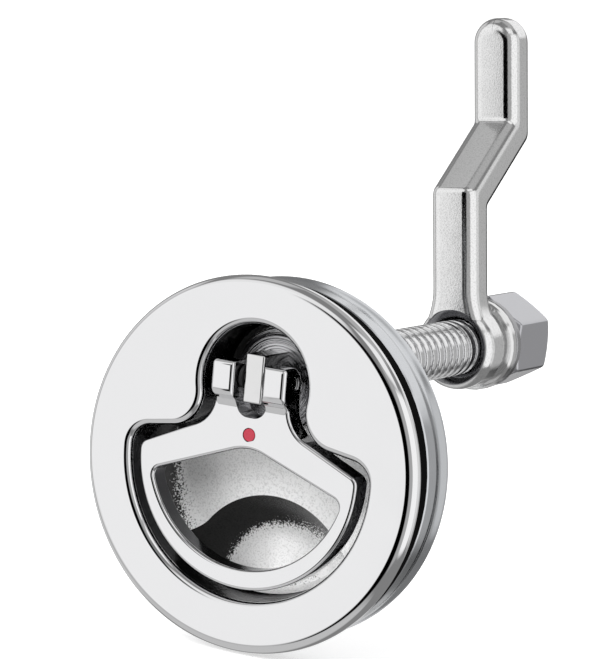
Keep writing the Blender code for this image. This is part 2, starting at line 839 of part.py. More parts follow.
def make_circlip():
    """Open ring snapped into the spindle's groove."""
    inner = shank_radius - circlip_groove_depth + running_gap
    outer = inner + circlip_groove_depth + circlip_reach
    half = circlip_opening_angle / 2
    outline = arc((0, 0), outer, half - 90, 270 - half, 28)
    outline += arc((0, 0), inner, 270 - half, half - 90, 28)
    mesh = plate_mesh("circlip", outline, circlip_thickness)
    clip = add_part("circlip", mesh, (0.35, 0.35, 0.36), 0.4, 1.0)
    return laid_along_y(clip, circlip_front + circlip_thickness / 2, spindle_height)


def rounded_section(half_width, half_depth, radius):
    """Rectangle with rounded corners as (across, deep) points."""
    points = []
    for start, x_sign, y_sign in ((0, 1, 1), (90, -1, 1), (180, -1, -1), (270, 1, -1)):
        centre = (x_sign * (half_width - radius), y_sign * (half_depth - radius))
        points += arc(centre, radius, start, start + 90, 3)
    return points


def bend_stations(corner_z, corner_y, lean, sign):
    """Stations round one bend, as (z, y): a fillet that every line of the arm's section takes alike."""
    tangent = cam_bend_radius * math.tan(lean / 2)
    steps = 3
    stations = []
    for step in range(steps + 1):
        turn = lean * step / steps
        z = cam_bend_radius * math.sin(turn) - tangent
        y = cam_bend_radius * (1 - math.cos(turn))
        stations.append((corner_z + sign * z, corner_y + sign * y))
    return stations if sign > 0 else stations[::-1]


def tip_section(centre, radius, half_depth, shift, angle):
    """Section of the arm's round end, on a plane that leans out over the arm's last straight section."""
    ring = []
    for across, deep in rounded_section(radius + cam_edge_radius, half_depth, cam_edge_radius):
        rise = abs(across) * math.sin(angle)
        ring.append((across * math.cos(angle), cam_offset + shift + deep, centre + rise))
    return ring


def make_cam():
    """Cast offset arm: a tapped eye, two bends and a round tip."""
    half_width = cam_width / 2
    half_depth = cam_thickness / 2
    arm_half = cam_arm_thickness / 2
    arm_shift = arm_half - half_depth
    eye_radius = cam_eye_diameter / 2
    sections = []

    def station(z, y, slant, half, rounding):
        section = rounded_section(half, arm_half, rounding)
        sections.append([(across, y + arm_shift + deep, z - deep * slant) for across, deep in section])

    foot = 0.6 * eye_radius
    flare_end = eye_radius + 2 * cam_flare
    for step in range(5):
        share = step / 4
        extra = cam_flare * (1 - share) ** 2
        station(foot + share * (flare_end - foot), 0, 0, half_width + extra, cam_edge_radius)
    lean = math.atan2(cam_offset, cam_upper_bend - cam_lower_bend)
    mitre = math.tan(lean / 2)
    for corner_z, corner_y, sign in ((cam_lower_bend, 0, 1), (cam_upper_bend, cam_offset, -1)):
        for z, y in bend_stations(corner_z, corner_y, lean, sign):
            station(z, y, mitre, half_width, cam_edge_radius)
    tip_centre = cam_length - half_width
    tip_radius = half_width - cam_edge_radius
    for turn in (0, 15, 30, 45, 60, 75, 86):
        angle = math.radians(turn)
        sections.append(tip_section(tip_centre, tip_radius, arm_half, arm_shift, angle))
    mesh = lofted_mesh("cam", sections)
    cam = add_part("cam", mesh, (0.66, 0.66, 0.65), 0.38, 1.0)
    on_spindle(cam, cam_position + half_depth, cam_turn)

    rim = arc((eye_radius - cam_edge_radius, cam_edge_radius - half_depth), cam_edge_radius, -90, 0, 4)
    rim += arc((eye_radius - cam_edge_radius, half_depth - cam_edge_radius), cam_edge_radius, 0, 90, 4)
    eye = add_cutter("cam_eye", turned_mesh("cam_eye", [(0, -half_depth)] + rim + [(0, half_depth)]))
    join(cam, on_spindle(spin(eye, 40), cam_position + half_depth, cam_turn))
    bore_radius_here = shank_radius + running_gap
    mouth = bore_radius_here + cam_eye_countersink
    tap = [
        (0, -half_depth - through),
        (mouth + through, -half_depth - through),
        (bore_radius_here, -half_depth + cam_eye_countersink),
        (bore_radius_here, half_depth + through),
        (0, half_depth + through),
    ]
    tap_cutter = add_cutter("cam_tap", turned_mesh("cam_tap", tap))
    cut(cam, on_spindle(spin(tap_cutter, shaft_steps), cam_position + half_depth))
    return cam


def make_end_washers():
    """Flat washer against the cam, and the split spring washer under the nut."""
    inner = shank_radius + seat_gap
    flat_back = flat_washer_front + flat_washer_thickness
    section = washer_profile(inner, flat_washer_diameter / 2, flat_washer_front, flat_back, 0.0004)
    flat = add_part("flat_washer", turned_mesh("flat_washer", section), (0.6, 0.6, 0.6), 0.28, 1.0)
    on_spindle(spin(flat, shaft_steps))
    spring_back = spring_washer_front + spring_washer_thickness
    section = washer_profile(inner, spring_washer_diameter / 2, spring_washer_front, spring_back, 0.0002)
    spring = add_part("spring_washer", turned_mesh("spring_washer", section), (0.5, 0.5, 0.5), 0.35, 1.0)
    on_spindle(spin(spring, shaft_steps))
    gap_size = (spring_washer_split, 4 * spring_washer_thickness, spring_washer_diameter)
    gap = add_cutter("washer_split", box_mesh("washer_split", gap_size))
    middle = (spring_washer_front + spring_back) / 2
    gap.location = (0, middle, spindle_height - spring_washer_diameter / 2)
    gap.rotation_euler = (0, 0, math.radians(25))
    cut(spring, gap)


def make_nut():
    """Hexagon nut with a corner up, its corners turned down at both ends."""
    corner_radius = nut_across_flats / math.sqrt(3)
    flat_radius = nut_across_flats / 2
    mesh = cylinder_mesh("hex_nut", corner_radius, nut_height, 6)
    nut = add_part("hex_nut", mesh, (0.5, 0.5, 0.5), 0.25, 1.0)
    nut.rotation_euler = (math.pi / 2, 0, 0)
    for vertex in nut.data.vertices:
        angle = math.radians(cam_turn)
        x, y = vertex.co.x, vertex.co.y
        vertex.co.x = x * math.cos(angle) + y * math.sin(angle)
        vertex.co.y = y * math.cos(angle) - x * math.sin(angle)
    nut.location = (0, nut_front + nut_height / 2, spindle_height)
    reach = corner_radius + through / 4
    drop = (reach - flat_radius) * math.tan(math.radians(nut_chamfer_angle))
    turned = [
        (0, nut_front),
        (flat_radius, nut_front),
        (reach, nut_front + drop),
        (reach, nut_back - drop),
        (flat_radius, nut_back),
        (0, nut_back),
    ]
    limits = add_cutter("nut_limits", turned_mesh("nut_limits", turned))
    combine(nut, on_spindle(spin(limits, 48)), "INTERSECT")
    bore_mesh = cylinder_mesh("nut_bore", shank_radius + running_gap, 2 * nut_height, shaft_steps)
    bore = add_cutter("nut_bore", bore_mesh)
    cut(nut, laid_along_y(bore, nut_front + nut_height / 2, spindle_height))
    return nut


make_housing()
make_gasket()
make_ring_nut()
pull_handle = make_handle()
make_index_dot(pull_handle)
make_hinge_pin()
for washer_side in (-1, 1):
    make_pin_washer(washer_side)
make_spindle()
make_spindle_rings()
make_stop_washer()
make_wave_washer()
make_circlip()
make_cam()
make_end_washers()
make_nut()
for part in parts.objects:
    smooth(part)
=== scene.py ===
# %% [markdown]
# A flush lift-and-turn pull handle in polished stainless steel: a round flange with a keyhole recess, a
# folding D-shaped grip, a ring nut and gasket behind the door, and a long threaded spindle that carries
# an offset cam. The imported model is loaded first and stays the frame: each piece made here lies where its
# node lies, so a new piece can be checked against the old one at any time.

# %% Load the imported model
import math

import bmesh
import bpy
import numpy as np
from mathutils import Matrix, Vector


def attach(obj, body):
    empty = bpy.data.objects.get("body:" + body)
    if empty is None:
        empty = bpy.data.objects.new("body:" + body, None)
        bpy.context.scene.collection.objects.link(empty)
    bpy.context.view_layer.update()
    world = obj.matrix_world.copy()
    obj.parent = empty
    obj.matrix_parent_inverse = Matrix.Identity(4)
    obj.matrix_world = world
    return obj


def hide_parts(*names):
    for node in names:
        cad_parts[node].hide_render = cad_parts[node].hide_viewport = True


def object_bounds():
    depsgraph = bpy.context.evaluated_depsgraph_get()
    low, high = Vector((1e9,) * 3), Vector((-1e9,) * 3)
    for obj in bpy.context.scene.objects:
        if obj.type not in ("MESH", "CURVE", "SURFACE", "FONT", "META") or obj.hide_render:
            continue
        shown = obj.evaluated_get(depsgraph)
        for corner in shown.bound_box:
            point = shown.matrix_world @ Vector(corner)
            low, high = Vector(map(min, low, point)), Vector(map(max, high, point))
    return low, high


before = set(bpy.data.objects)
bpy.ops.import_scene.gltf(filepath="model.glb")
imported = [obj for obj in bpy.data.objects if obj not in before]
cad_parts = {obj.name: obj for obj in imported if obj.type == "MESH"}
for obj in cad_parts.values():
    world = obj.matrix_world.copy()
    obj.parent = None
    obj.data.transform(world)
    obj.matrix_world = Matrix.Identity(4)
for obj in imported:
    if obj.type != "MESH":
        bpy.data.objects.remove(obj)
cad_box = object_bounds()
scene = bpy.context.scene
scene.view_settings.view_transform = "Standard"
MM = 0.001
print("nodes:", len(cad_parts), "box:", cad_box)

# %% [markdown]
# The camera looks at the face from its right and a little above, through a long lens. The picture was
# taken with the handle turned a few degrees on its axis, so the camera leans by the same few degrees
# instead.

# %% Camera
VIEW_SIDE = Vector((0.86382, 0.49684, 0.08345))
VIEW_UP = Vector((-0.14244, 0.08197, 0.98640))
VIEW_BACK = Vector((0.48325, -0.86396, 0.14157))
VIEW_PLACE = Vector((0.39190, -0.68650, 0.14072))
LENS_MM = 221.4
SENSOR_MM = 36

camera_data = bpy.data.cameras.new("camera")
camera_data.lens = LENS_MM
camera_data.sensor_width = SENSOR_MM
camera_data.clip_start = 0.01
camera_data.clip_end = 20
camera = bpy.data.objects.new("camera", camera_data)
scene.collection.objects.link(camera)
turn = Matrix((VIEW_SIDE, VIEW_UP, VIEW_BACK)).transposed().to_4x4()
camera.matrix_world = Matrix.Translation(VIEW_PLACE) @ turn
scene.camera = camera
print("camera at", [round(c, 4) for c in camera.location])

# %% [markdown]
# Colours are written as sRGB hex values, as a paint chart gives them. Blender's shaders want linear
# light, so one function turns them over. One more adds a shader node: each of its inputs is either a
# plain value or the output of another node, and the function sets the one and links the other.


# %% Colour and node helpers
# Two settings that come up often.
SMOOTH = {"interpolation_type": "SMOOTHSTEP"}
DOT = {"operation": "DOT_PRODUCT"}


def linear(code):
    """Linear colour of an sRGB hex value."""
    levels = [int(code[i : i + 2], 16) / 255 for i in (1, 3, 5)]
    return tuple(v / 12.92 if v <= 0.04045 else ((v + 0.055) / 1.055) ** 2.4 for v in levels) + (1.0,)


def add_node(tree, kind, settings=None, inputs=None):
    """A new node with its settings, and its inputs as values or as other nodes' outputs."""
    node = tree.nodes.new(kind)
    for key, value in (settings or {}).items():
        setattr(node, key, value)
    for key, value in (inputs or {}).items():
        if isinstance(value, bpy.types.NodeSocket):
            tree.links.new(value, node.inputs[key])
        else:
            node.inputs[key].default_value = value
    return node


def tree_and_shader(material):
    """A material's node tree and the Principled shader in it."""
    return material.node_tree, material.node_tree.nodes["Principled BSDF"]


def new_material(name):
    """A material with one Principled shader, as (material, tree, shader)."""
    material = bpy.data.materials.new(name)
    material.use_nodes = True
    return material, *tree_and_shader(material)


print("sRGB #808080 is", round(linear("#808080")[0], 3), "in linear light")

# %% [markdown]
# Metals differ here by how they were finished more than by their alloy. The wheel, the mould and the
# blast each leave relief of their own size, so noise on the piece's own coordinates gets a grain in
# millimetres and a bump node turns it into slopes. A mesh that fine would be far too heavy, and the eye
# sees only how the slopes bend the reflections. The roughness wanders too, in wider patches, because no
# hand finishes evenly.


# %% Relief and roughness
def add_relief(tree, shader, grain_mm, height_mm, strength):
    """Fine relief from noise whose grain has a real size, as (height, coordinates)."""
    place = add_node(tree, "ShaderNodeTexCoord").outputs["Object"]
    noise = add_node(
        tree,
        "ShaderNodeTexNoise",
        inputs={"Vector": place, "Scale": 1 / (grain_mm * MM), "Detail": 3.0, "Roughness": 0.6},
    ).outputs["Fac"]
    slopes = {"Height": noise, "Strength": strength, "Distance": height_mm * MM}
    bump = add_node(tree, "ShaderNodeBump", inputs=slopes)
    tree.links.new(bump.outputs["Normal"], shader.inputs["Normal"])
    return noise, place


def vary_roughness(tree, shader, place, patch_mm, low, high):
    """Roughness that wanders between two values in patches of a real size."""
    patches = {"Vector": place, "Scale": 1 / (patch_mm * MM), "Detail": 4.0}
    noise = add_node(tree, "ShaderNodeTexNoise", inputs=patches).outputs["Fac"]
    limits = {"Value": noise, "From Min": 0.3, "From Max": 0.7, "To Min": low, "To Max": high}
    spread = add_node(tree, "ShaderNodeMapRange", inputs=limits)
    tree.links.new(spread.outputs["Result"], shader.inputs["Roughness"])


def scale_colour(tree, shader, colour, share):
    """Sends a colour into the shader, multiplied by a socket's value."""
    scaled = add_node(tree, "ShaderNodeVectorMath", {"operation": "SCALE"}, {0: colour, "Scale": share})
    tree.links.new(scaled.outputs[0], shader.inputs["Base Color"])


PIT_LEVELS = (0.36, 0.52)


def metal(name, colour, relief, roughness, patch_mm=3.0, metallic=1.0, pits=0.0):
    """Metal with relief (grain mm, height mm, strength); pits above 0 darken its low spots."""
    material, tree, shader = new_material(name)
    shader.inputs["Metallic"].default_value = metallic
    shader.inputs["Base Color"].default_value = linear(colour)
    height, place = add_relief(tree, shader, *relief)
    vary_roughness(tree, shader, place, patch_mm, *roughness)
    if pits:
        bottom, top = PIT_LEVELS
        limits = {"Value": height, "From Min": bottom, "From Max": top, "To Min": 1 - pits, "To Max": 1.0}
        level = add_node(tree, "ShaderNodeMapRange", inputs=limits).outputs["Result"]
        scale_colour(tree, shader, linear(colour)[:3], level)
    return material


# Buffed stainless steel: a mirror with the faintest waviness left by the wheel.
polished_steel = metal("buffed_stainless_steel", "#EDEDEE", (6.0, 0.002, 0.25), (0.035, 0.075), 9.0)
print("first metal:", polished_steel.name, "with", len(polished_steel.node_tree.nodes), "nodes")

# %% [markdown]
# Inside the cup no wheel reaches, so the casting stays as the shot blast left it. Its faces that turn
# away from a light at the upper left get painted shade: the face's normal against the light's direction
# tells the two apart, and noise breaks the border between them into single grains. Full metal would only
# mirror the dark cup, so this blasted skin is mostly diffuse, as a matt one is.


# %% Blasted casting and painted shade
GRAIN_REACH = 0.7


def add_painted_shade_side(material, shading_light, low, high, grain_mm, remains):
    """Paints shade on faces that turn away from a light's direction, with a grainy border."""
    tree, shader = tree_and_shader(material)
    tone = shader.inputs["Base Color"].links[0].from_socket
    place = add_node(tree, "ShaderNodeTexCoord").outputs
    angles = {0: place["Normal"], 1: shading_light}
    turned_to = add_node(tree, "ShaderNodeVectorMath", DOT, angles).outputs["Value"]
    grains = {"Vector": place["Object"], "Scale": 1 / (grain_mm * MM), "Detail": 2.0}
    grain = add_node(tree, "ShaderNodeTexNoise", inputs=grains).outputs["Fac"]
    spread = {0: grain, 1: GRAIN_REACH, 2: -GRAIN_REACH / 2}
    shifted = add_node(tree, "ShaderNodeMath", {"operation": "MULTIPLY_ADD"}, spread).outputs[0]
    reach = add_node(tree, "ShaderNodeMath", {"operation": "ADD"}, {0: turned_to, 1: shifted}).outputs[0]
    limits = {"Value": reach, "From Min": low, "From Max": high, "To Min": remains, "To Max": 1.0}
    share = add_node(tree, "ShaderNodeMapRange", SMOOTH, limits).outputs["Result"]
    scale_colour(tree, shader, tone, share)


# Direction of the light for the painted shade in the cup: faces turned away from it are darkened.
PAINTED_SHADE_LIGHT_FROM = (-0.45, -0.75, 0.48)
BLAST_GRAIN = 0.36  # coarser than real shot marks, so that it shows at this size

# Shot-blasted casting inside the cup: pale, with a coarse sparkle.
blasted_steel = metal(
    "blasted_cast_stainless", "#FCFCFC", (BLAST_GRAIN, 0.075, 1.0), (0.08, 0.12), metallic=0.20, pits=0.22
)
# Painted shade: faces of the cup that turn away from the upper left keep only a few percent of their
# colour.
add_painted_shade_side(blasted_steel, PAINTED_SHADE_LIGHT_FROM, low=0.46, high=0.62, grain_mm=BLAST_GRAIN, remains=0.04)
# Walls of the recess: steel coloured dark grey, a painted shade that stands for the dark reflections in the
# recess.
painted_shade_wall_steel = metal("painted_shade_wall_skin", "#2C2C2E", (0.8, 0.05, 0.7), (0.12, 0.20))
# Inner sides of the grip's opening: steel coloured a little lighter than the recess walls, also as painted
# shade.
painted_shade_opening_steel = metal("painted_shade_opening_skin", "#58585A", (0.8, 0.03, 0.6), (0.10, 0.18))
# Countersink of the cam's eye: duller than the tumbled cam, and coloured darker as painted shade from the
# spindle in it.
painted_shade_countersink_steel = metal("countersunk_stainless_steel", "#A0A0A2", (0.8, 0.005, 0.4), (0.14, 0.22))
# Tumbled casting of the cam: satin, with a fine pebble.
satin_steel = metal(
    "tumbled_cast_stainless", "#EEEEEE", (BLAST_GRAIN, 0.016, 0.9), (0.10, 0.14), 4.0, pits=0.13
)
print("blast comes from", PAINTED_SHADE_LIGHT_FROM, "with a grain of", BLAST_GRAIN, "mm")

# %% [markdown]
# Turned steel carries marks that run round the spindle's axis. The front of its head was faced, so rings
# of relief about that axis catch the light in arcs, and its thread is given painted shade towards the
# root, which draws a dark line between the bright crests. Both need only the distance from the axis,
# which three vector steps work out.

# %% Turned and threaded steel
SPINDLE_HEIGHT = 16.3


def distance_from_spindle(tree):
    """Socket with the distance from the spindle's axis, which runs along Y."""
    place = add_node(tree, "ShaderNodeTexCoord").outputs["Object"]
    for operation, vector in (("SUBTRACT", (0, 0, SPINDLE_HEIGHT * MM)), ("MULTIPLY", (1, 0, 1))):
        step = add_node(tree, "ShaderNodeVectorMath", {"operation": operation}, {0: place, 1: vector})
        place = step.outputs[0]
    return add_node(tree, "ShaderNodeVectorMath", {"operation": "LENGTH"}, {0: place}).outputs["Value"]


def add_tool_marks(material, step_mm, height_mm):
    """Rings of relief about the spindle's axis, as a lathe's facing cut leaves them."""
    tree, shader = tree_and_shader(material)
    rings = {"W": distance_from_spindle(tree), "Scale": 1 / (step_mm * MM), "Detail": 2.0}
    marks = add_node(tree, "ShaderNodeTexNoise", {"noise_dimensions": "1D"}, rings).outputs["Fac"]
    slopes = {"Height": marks, "Strength": 1.0, "Distance": height_mm * MM}
    bump = add_node(tree, "ShaderNodeBump", inputs=slopes)
    tree.links.new(bump.outputs["Normal"], shader.inputs["Normal"])


def add_painted_root_shade(material, root_mm, unshaded_mm, remains):
    """Paints shade on a thread, darker towards its root."""
    tree, shader = tree_and_shader(material)
    radius = distance_from_spindle(tree)
    limits = {"Value": radius, "From Min": root_mm * MM, "From Max": unshaded_mm * MM}
    limits.update({"To Min": remains, "To Max": 1.0})
    share = add_node(tree, "ShaderNodeMapRange", SMOOTH, limits).outputs["Result"]
    scale_colour(tree, shader, tuple(shader.inputs["Base Color"].default_value)[:3], share)


# Bright turned stainless steel, with marks almost too fine to see.
turned_steel = metal("turned_stainless_steel", "#E6E6E6", (0.8, 0.003, 0.3), (0.08, 0.13))
# The same steel along the thread, with painted shade towards its root.
threaded_steel = metal("threaded_stainless_steel", "#EDEDEE", (0.8, 0.003, 0.3), (0.08, 0.13))
# Painted shade: the thread keeps about a fifth of its colour at the root.
add_painted_root_shade(threaded_steel, root_mm=4.95, unshaded_mm=5.55, remains=0.22)
# Plated ring nut and hexagon nut, each duller than the spindle.
ring_steel = metal("plated_ring_steel", "#D2D4D7", (0.6, 0.004, 0.4), (0.14, 0.22))
nut_steel = metal("plated_nut_steel", "#C0C0C4", (0.6, 0.004, 0.4), (0.14, 0.20))
# Faced front of the spindle's head, with marks coarser than real ones, so that they show at this size.
faced_steel = metal("faced_stainless_steel", "#C4C4C6", (0.8, 0.003, 0.3), (0.10, 0.16))
add_tool_marks(faced_steel, step_mm=0.60, height_mm=0.20)
# Rolled spring steel of the circlip and the sprung washers: grey, with a dull sheen.
spring_steel = metal("rolled_spring_steel", "#A9A9AB", (0.5, 0.004, 0.3), (0.22, 0.32), 2.0)
# Sintered bearing bronze: warm and porous.
bearing_bronze = metal("sintered_bronze", "#B08D57", (0.25, 0.01, 0.4), (0.28, 0.40), 1.5)
print("metals:", len(bpy.data.materials))

# %% [markdown]
# The soft pieces and the enamel aren't metals: rubber is matt and nearly black, nylon a little smoother,
# and the index dot is a fired enamel under a glossy skin. They share one function, because only colour,
# roughness, grain and coat tell them apart.


# %% Rubber, nylon and enamel
def plain(name, colour, roughness, grain_mm, height_mm, coat=0.0, specular=0.5):
    """Material without metal, with fine relief and perhaps a clear coat."""
    material, tree, shader = new_material(name)
    shader.inputs["Base Color"].default_value = linear(colour)
    shader.inputs["Roughness"].default_value = roughness
    shader.inputs["Coat Weight"].default_value = coat
    shader.inputs["Specular IOR Level"].default_value = specular
    add_relief(tree, shader, grain_mm, height_mm, 0.3)
    return material


# Moulded rubber of gasket and seal: it swallows the light, with hardly a sheen.
gasket_rubber = plain("moulded_nitrile_rubber", "#030303", 0.85, 0.3, 0.01, specular=0.08)
# Moulded nylon of the spacers: black with a soft sheen.
black_nylon = plain("moulded_nylon", "#1B1B1C", 0.45, 0.4, 0.005)
# Fired enamel of the index dot: deep red under a thin gloss.
red_enamel = plain("fired_red_enamel", "#A02236", 0.25, 0.5, 0.003, coat=0.4)
print("materials in all:", len(bpy.data.materials))

# %% [markdown]
# A node's mesh comes as loose triangles. For a curved, polished piece the triangles are merged, flat
# areas are freed of their inner edges, and the shading is smoothed between faces that meet at a small
# angle, with each corner's normal weighted by area so that flats stay flat beside their rounded edges.


# %% Mesh finishing
MERGE_MM = 0.002


def finish_mesh(obj, sharp_degrees=32, edge_mm=0.0):
    """Rounds the sharp edges a little if asked, and shades the piece smooth between them."""
    mesh = obj.data
    for polygon in mesh.polygons:
        polygon.use_smooth = True
    mesh.set_sharp_from_angle(angle=math.radians(sharp_degrees))
    if edge_mm:
        bevel = obj.modifiers.new("edges", "BEVEL")
        bevel.width = edge_mm * MM
        bevel.segments = 2
        bevel.limit_method = "ANGLE"
        bevel.angle_limit = math.radians(sharp_degrees)
    weigh = obj.modifiers.new("flat_areas", "WEIGHTED_NORMAL")
    weigh.keep_sharp = not edge_mm
    weigh.weight = 80
    return obj


def merged(mesh):
    """Merges the mesh's doubled points and dissolves the edges inside its flat areas."""
    work = bmesh.new()
    work.from_mesh(mesh)
    bmesh.ops.remove_doubles(work, verts=work.verts, dist=MERGE_MM * MM)
    bmesh.ops.dissolve_limit(work, angle_limit=math.radians(0.6), verts=work.verts, edges=work.edges)
    work.to_mesh(mesh)
    work.free()
    return mesh


print("points closer than", MERGE_MM, "mm are merged")

# %% [markdown]
# Each finished piece rides on the body that carries it, so that it moves with the joint, and replaces
# the node that it stands for. Its mesh holds its place, and the object stays at the origin, as a node's
# does.

# %% Pieces
pieces = {}


def add_piece(node, mesh, material, body, slot, sharp_degrees=30, edge_mm=0.0):
    """Puts a mesh in the place of its node, as a finished piece."""
    obj = bpy.data.objects.new(node + "_finished", mesh)
    scene.collection.objects.link(obj)
    mesh.materials.clear()
    mesh.materials.append(material)
    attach(obj, body)
    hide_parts(node)
    pieces[node] = finish_mesh(obj, sharp_degrees, edge_mm)
    return mesh


def dress(mesh, materials, choose):
    """Adds materials, and gives each face the index chosen from its centre in mm and its normal."""
    for material in materials:
        mesh.materials.append(material)
    counts = [0] * len(mesh.materials)
    for polygon in mesh.polygons:
        polygon.material_index = int(choose(polygon.center / MM, polygon.normal))
        counts[polygon.material_index] += 1
    return counts


print("nodes to stand for:", sorted(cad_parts))

# %% [markdown]
# A buffed or satin surface shows every facet in its reflections, so the six pieces with such forms are
# built again from the same sizes with finer arcs: the housing, the handle, the cam, the spindle, the ring
# nut and the hexagon nut. Each is made the way the CAD makes it, as lofts and turned forms that are
# joined and cut. All sizes in this part are in millimetres. Outlines come first: lists of points, most of
# them arcs that meet tangentially.


# %% Outlines
def arc(centre, radius, start, end, steps):
    """Points of an arc, both ends included, with the angles in degrees."""
    points = []
    for step in range(steps + 1):
        angle = math.radians(start + (end - start) * step / steps)
        points.append((centre[0] + radius * math.cos(angle), centre[1] + radius * math.sin(angle)))
    return points


def mirrored(half):
    """A closed outline from its right half, whose first and last points lie on the middle line."""
    return half + [(-x, z) for x, z in reversed(half[1:-1])]


def at_depth(outline, y):
    return [(x, y, z) for x, z in outline]


def falling_corner(start, slope, offset, centre, reach):
    """Centre of a corner arc, offset below a falling line and at a given reach from another centre."""
    angle = math.radians(slope)
    x = start[0] - offset * math.sin(angle)
    z = start[1] - offset * math.cos(angle)
    along = (math.cos(angle), -math.sin(angle))
    b = (x - centre[0]) * along[0] + (z - centre[1]) * along[1]
    c = (x - centre[0]) ** 2 + (z - centre[1]) ** 2 - reach**2
    distance = -b + math.sqrt(b * b - c)
    return x + distance * along[0], z + distance * along[1]


print("points of a quarter round in 8 steps:", len(arc((0, 0), 1, 0, 90, 8)))

# %% [markdown]
# Three ways make a solid from outlines. A loft puts a skin over rings that have equal counts of points, a
# turned form spins a profile about a line along Y, and a box is a scaled cube. All end in the same step,
# which closes the seams, turns the faces outwards and goes from millimetres to metres.


# %% Solids from outlines
def closed_mesh(work):
    """Turns a finished bmesh in millimetres into a mesh in metres, with its faces pointing out."""
    bmesh.ops.remove_doubles(work, verts=work.verts, dist=0.0005)
    bmesh.ops.recalc_face_normals(work, faces=work.faces)
    bmesh.ops.scale(work, vec=(MM, MM, MM), verts=work.verts)
    mesh = bpy.data.meshes.new("solid")
    work.to_mesh(mesh)
    work.free()
    return mesh


def loft(rings):
    """Skin over rings with equal counts of points, capped at both ends."""
    work = bmesh.new()
    loops = [[work.verts.new(point) for point in ring] for ring in rings]
    work.faces.new(loops[0])
    work.faces.new(loops[-1])
    for near, far in zip(loops, loops[1:]):
        for i in range(len(near)):
            j = (i + 1) % len(near)
            work.faces.new((near[i], near[j], far[j], far[i]))
    return closed_mesh(work)


def turned(profile, steps, height=0.0):
    """Solid of (radius, y) points turned about a line along Y at a height."""
    work = bmesh.new()
    verts = [work.verts.new((radius, y, height)) for radius, y in profile]
    edges = [work.edges.new(pair) for pair in zip(verts, verts[1:])]
    if profile[0][0] > 0:
        edges.append(work.edges.new((verts[-1], verts[0])))
    bmesh.ops.spin(
        work,
        geom=verts + edges,
        cent=(0, 0, height),
        axis=(0, 1, 0),
        angle=2 * math.pi,
        steps=steps,
        use_merge=True,
    )
    return closed_mesh(work)


def box(size, centre):
    work = bmesh.new()
    bmesh.ops.create_cube(work, size=1)
    bmesh.ops.scale(work, vec=size, verts=work.verts)
    bmesh.ops.translate(work, vec=centre, verts=work.verts)
    return closed_mesh(work)


def cylinder(radius, start, end, steps, height=0.0):
    """Plain cylinder along Y, from one station to another."""
    return turned([(0, start), (radius, start), (radius, end), (0, end)], steps, height)


def cross_cylinder(radius, half_length, y, height, steps):
    """Plain cylinder along X."""
    ring = arc((y, height), radius, 0, 360, steps)[:-1]
    return loft([[(x, across, up) for across, up in ring] for x in (-half_length, half_length)])


disc = cylinder(5, 0, 1, 24)
print("faces of a test disc:", len(disc.polygons))

# %% [markdown]
# Solids are joined and cut by Boolean modifiers, as the CAD does with its own operations. They are
# applied one after another on a helper object, whose evaluated mesh is the result, and the helpers go
# again.


# %% Joining and cutting
def carved(base, *steps):
    """Applies Boolean steps, each an operation and a mesh, to a mesh in turn."""
    made = []
    for mesh in [base] + [mesh for _, mesh in steps]:
        made.append(bpy.data.objects.new("work", mesh))
        scene.collection.objects.link(made[-1])
    for (operation, _), helper in zip(steps, made[1:]):
        boolean = made[0].modifiers.new("step", "BOOLEAN")
        boolean.operation = operation
        boolean.solver = "EXACT"
        boolean.object = helper
    graph = bpy.context.evaluated_depsgraph_get()
    result = bpy.data.meshes.new_from_object(made[0].evaluated_get(graph))
    for obj in made:
        mesh = obj.data
        bpy.data.objects.remove(obj)
        bpy.data.meshes.remove(mesh)
    return result


washer = carved(disc, ("DIFFERENCE", cylinder(3, -1, 2, 24)))
print("faces of a washer cut from the disc:", len(washer.polygons))
bpy.data.meshes.remove(washer)

# %% [markdown]
# The housing is one casting: a round flange with the keyhole cup behind it. The face, its round edge and
# the rolled mouth of the recess are buffed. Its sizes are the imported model's, only the flange is a
# micrometre smaller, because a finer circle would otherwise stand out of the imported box.

# %% Housing sizes
FACE = -2.8
FLANGE_RADIUS = 37.749
FLANGE_EDGE = 2.15
BACK_CHAMFER = 0.4
BOWL_RADIUS = 27.3
LOBE_RADIUS = 12.0
SHOULDER_HEIGHT = 5.3
SHOULDER_SLOPE = 9.0
SHOULDER_CORNER = 4.5
NECK_FILLET = 7.5
MOUTH_ROLL = 1.4
CUP_FLOOR = 9.95
LOBE_FLOOR_FILLET = 3.8
BOWL_FLOOR_FILLET = 6.8
BODY_RADIUS = BOWL_RADIUS + 3.7
FLOOR_BACK = CUP_FLOOR + 2.6
SKIRT_BACK = 15.9
SKIRT_WALL = 2.5
SCOOP_MOUTH = 0.7015 * BOWL_RADIUS
SCOOP_DEPTH = 9.0
SCOOP_HEIGHT = 0.5 - BOWL_RADIUS
SCOOP_WALL = 2.5
SHANK_RADIUS = 6.0
BORE_PLAY = 0.15
BORE_RADIUS = 7.9
TUBE_RADIUS = 10.5
TUBE_BACK = CUP_FLOOR + 29.2
STOP_LUG_LENGTH = 1.8
STOP_LUG_WALL = 1.6
STOP_LUG_HALF_ANGLE = 35
HEAD_POCKET_RADIUS = 10.8
print("cup floor", CUP_FLOOR, "mm behind the flange's back, tube's end at", TUBE_BACK)

# %% [markdown]
# A foundry's pattern maker would draw one keyhole and give it draft. The same is done here: the recess is
# a loft of one outline that shrinks with depth and stays tangent at every inset, which a sculpted form
# would not. It is held inside a turned bowl whose floor has a wide fillet, and the finger scoop lies in
# that floor.


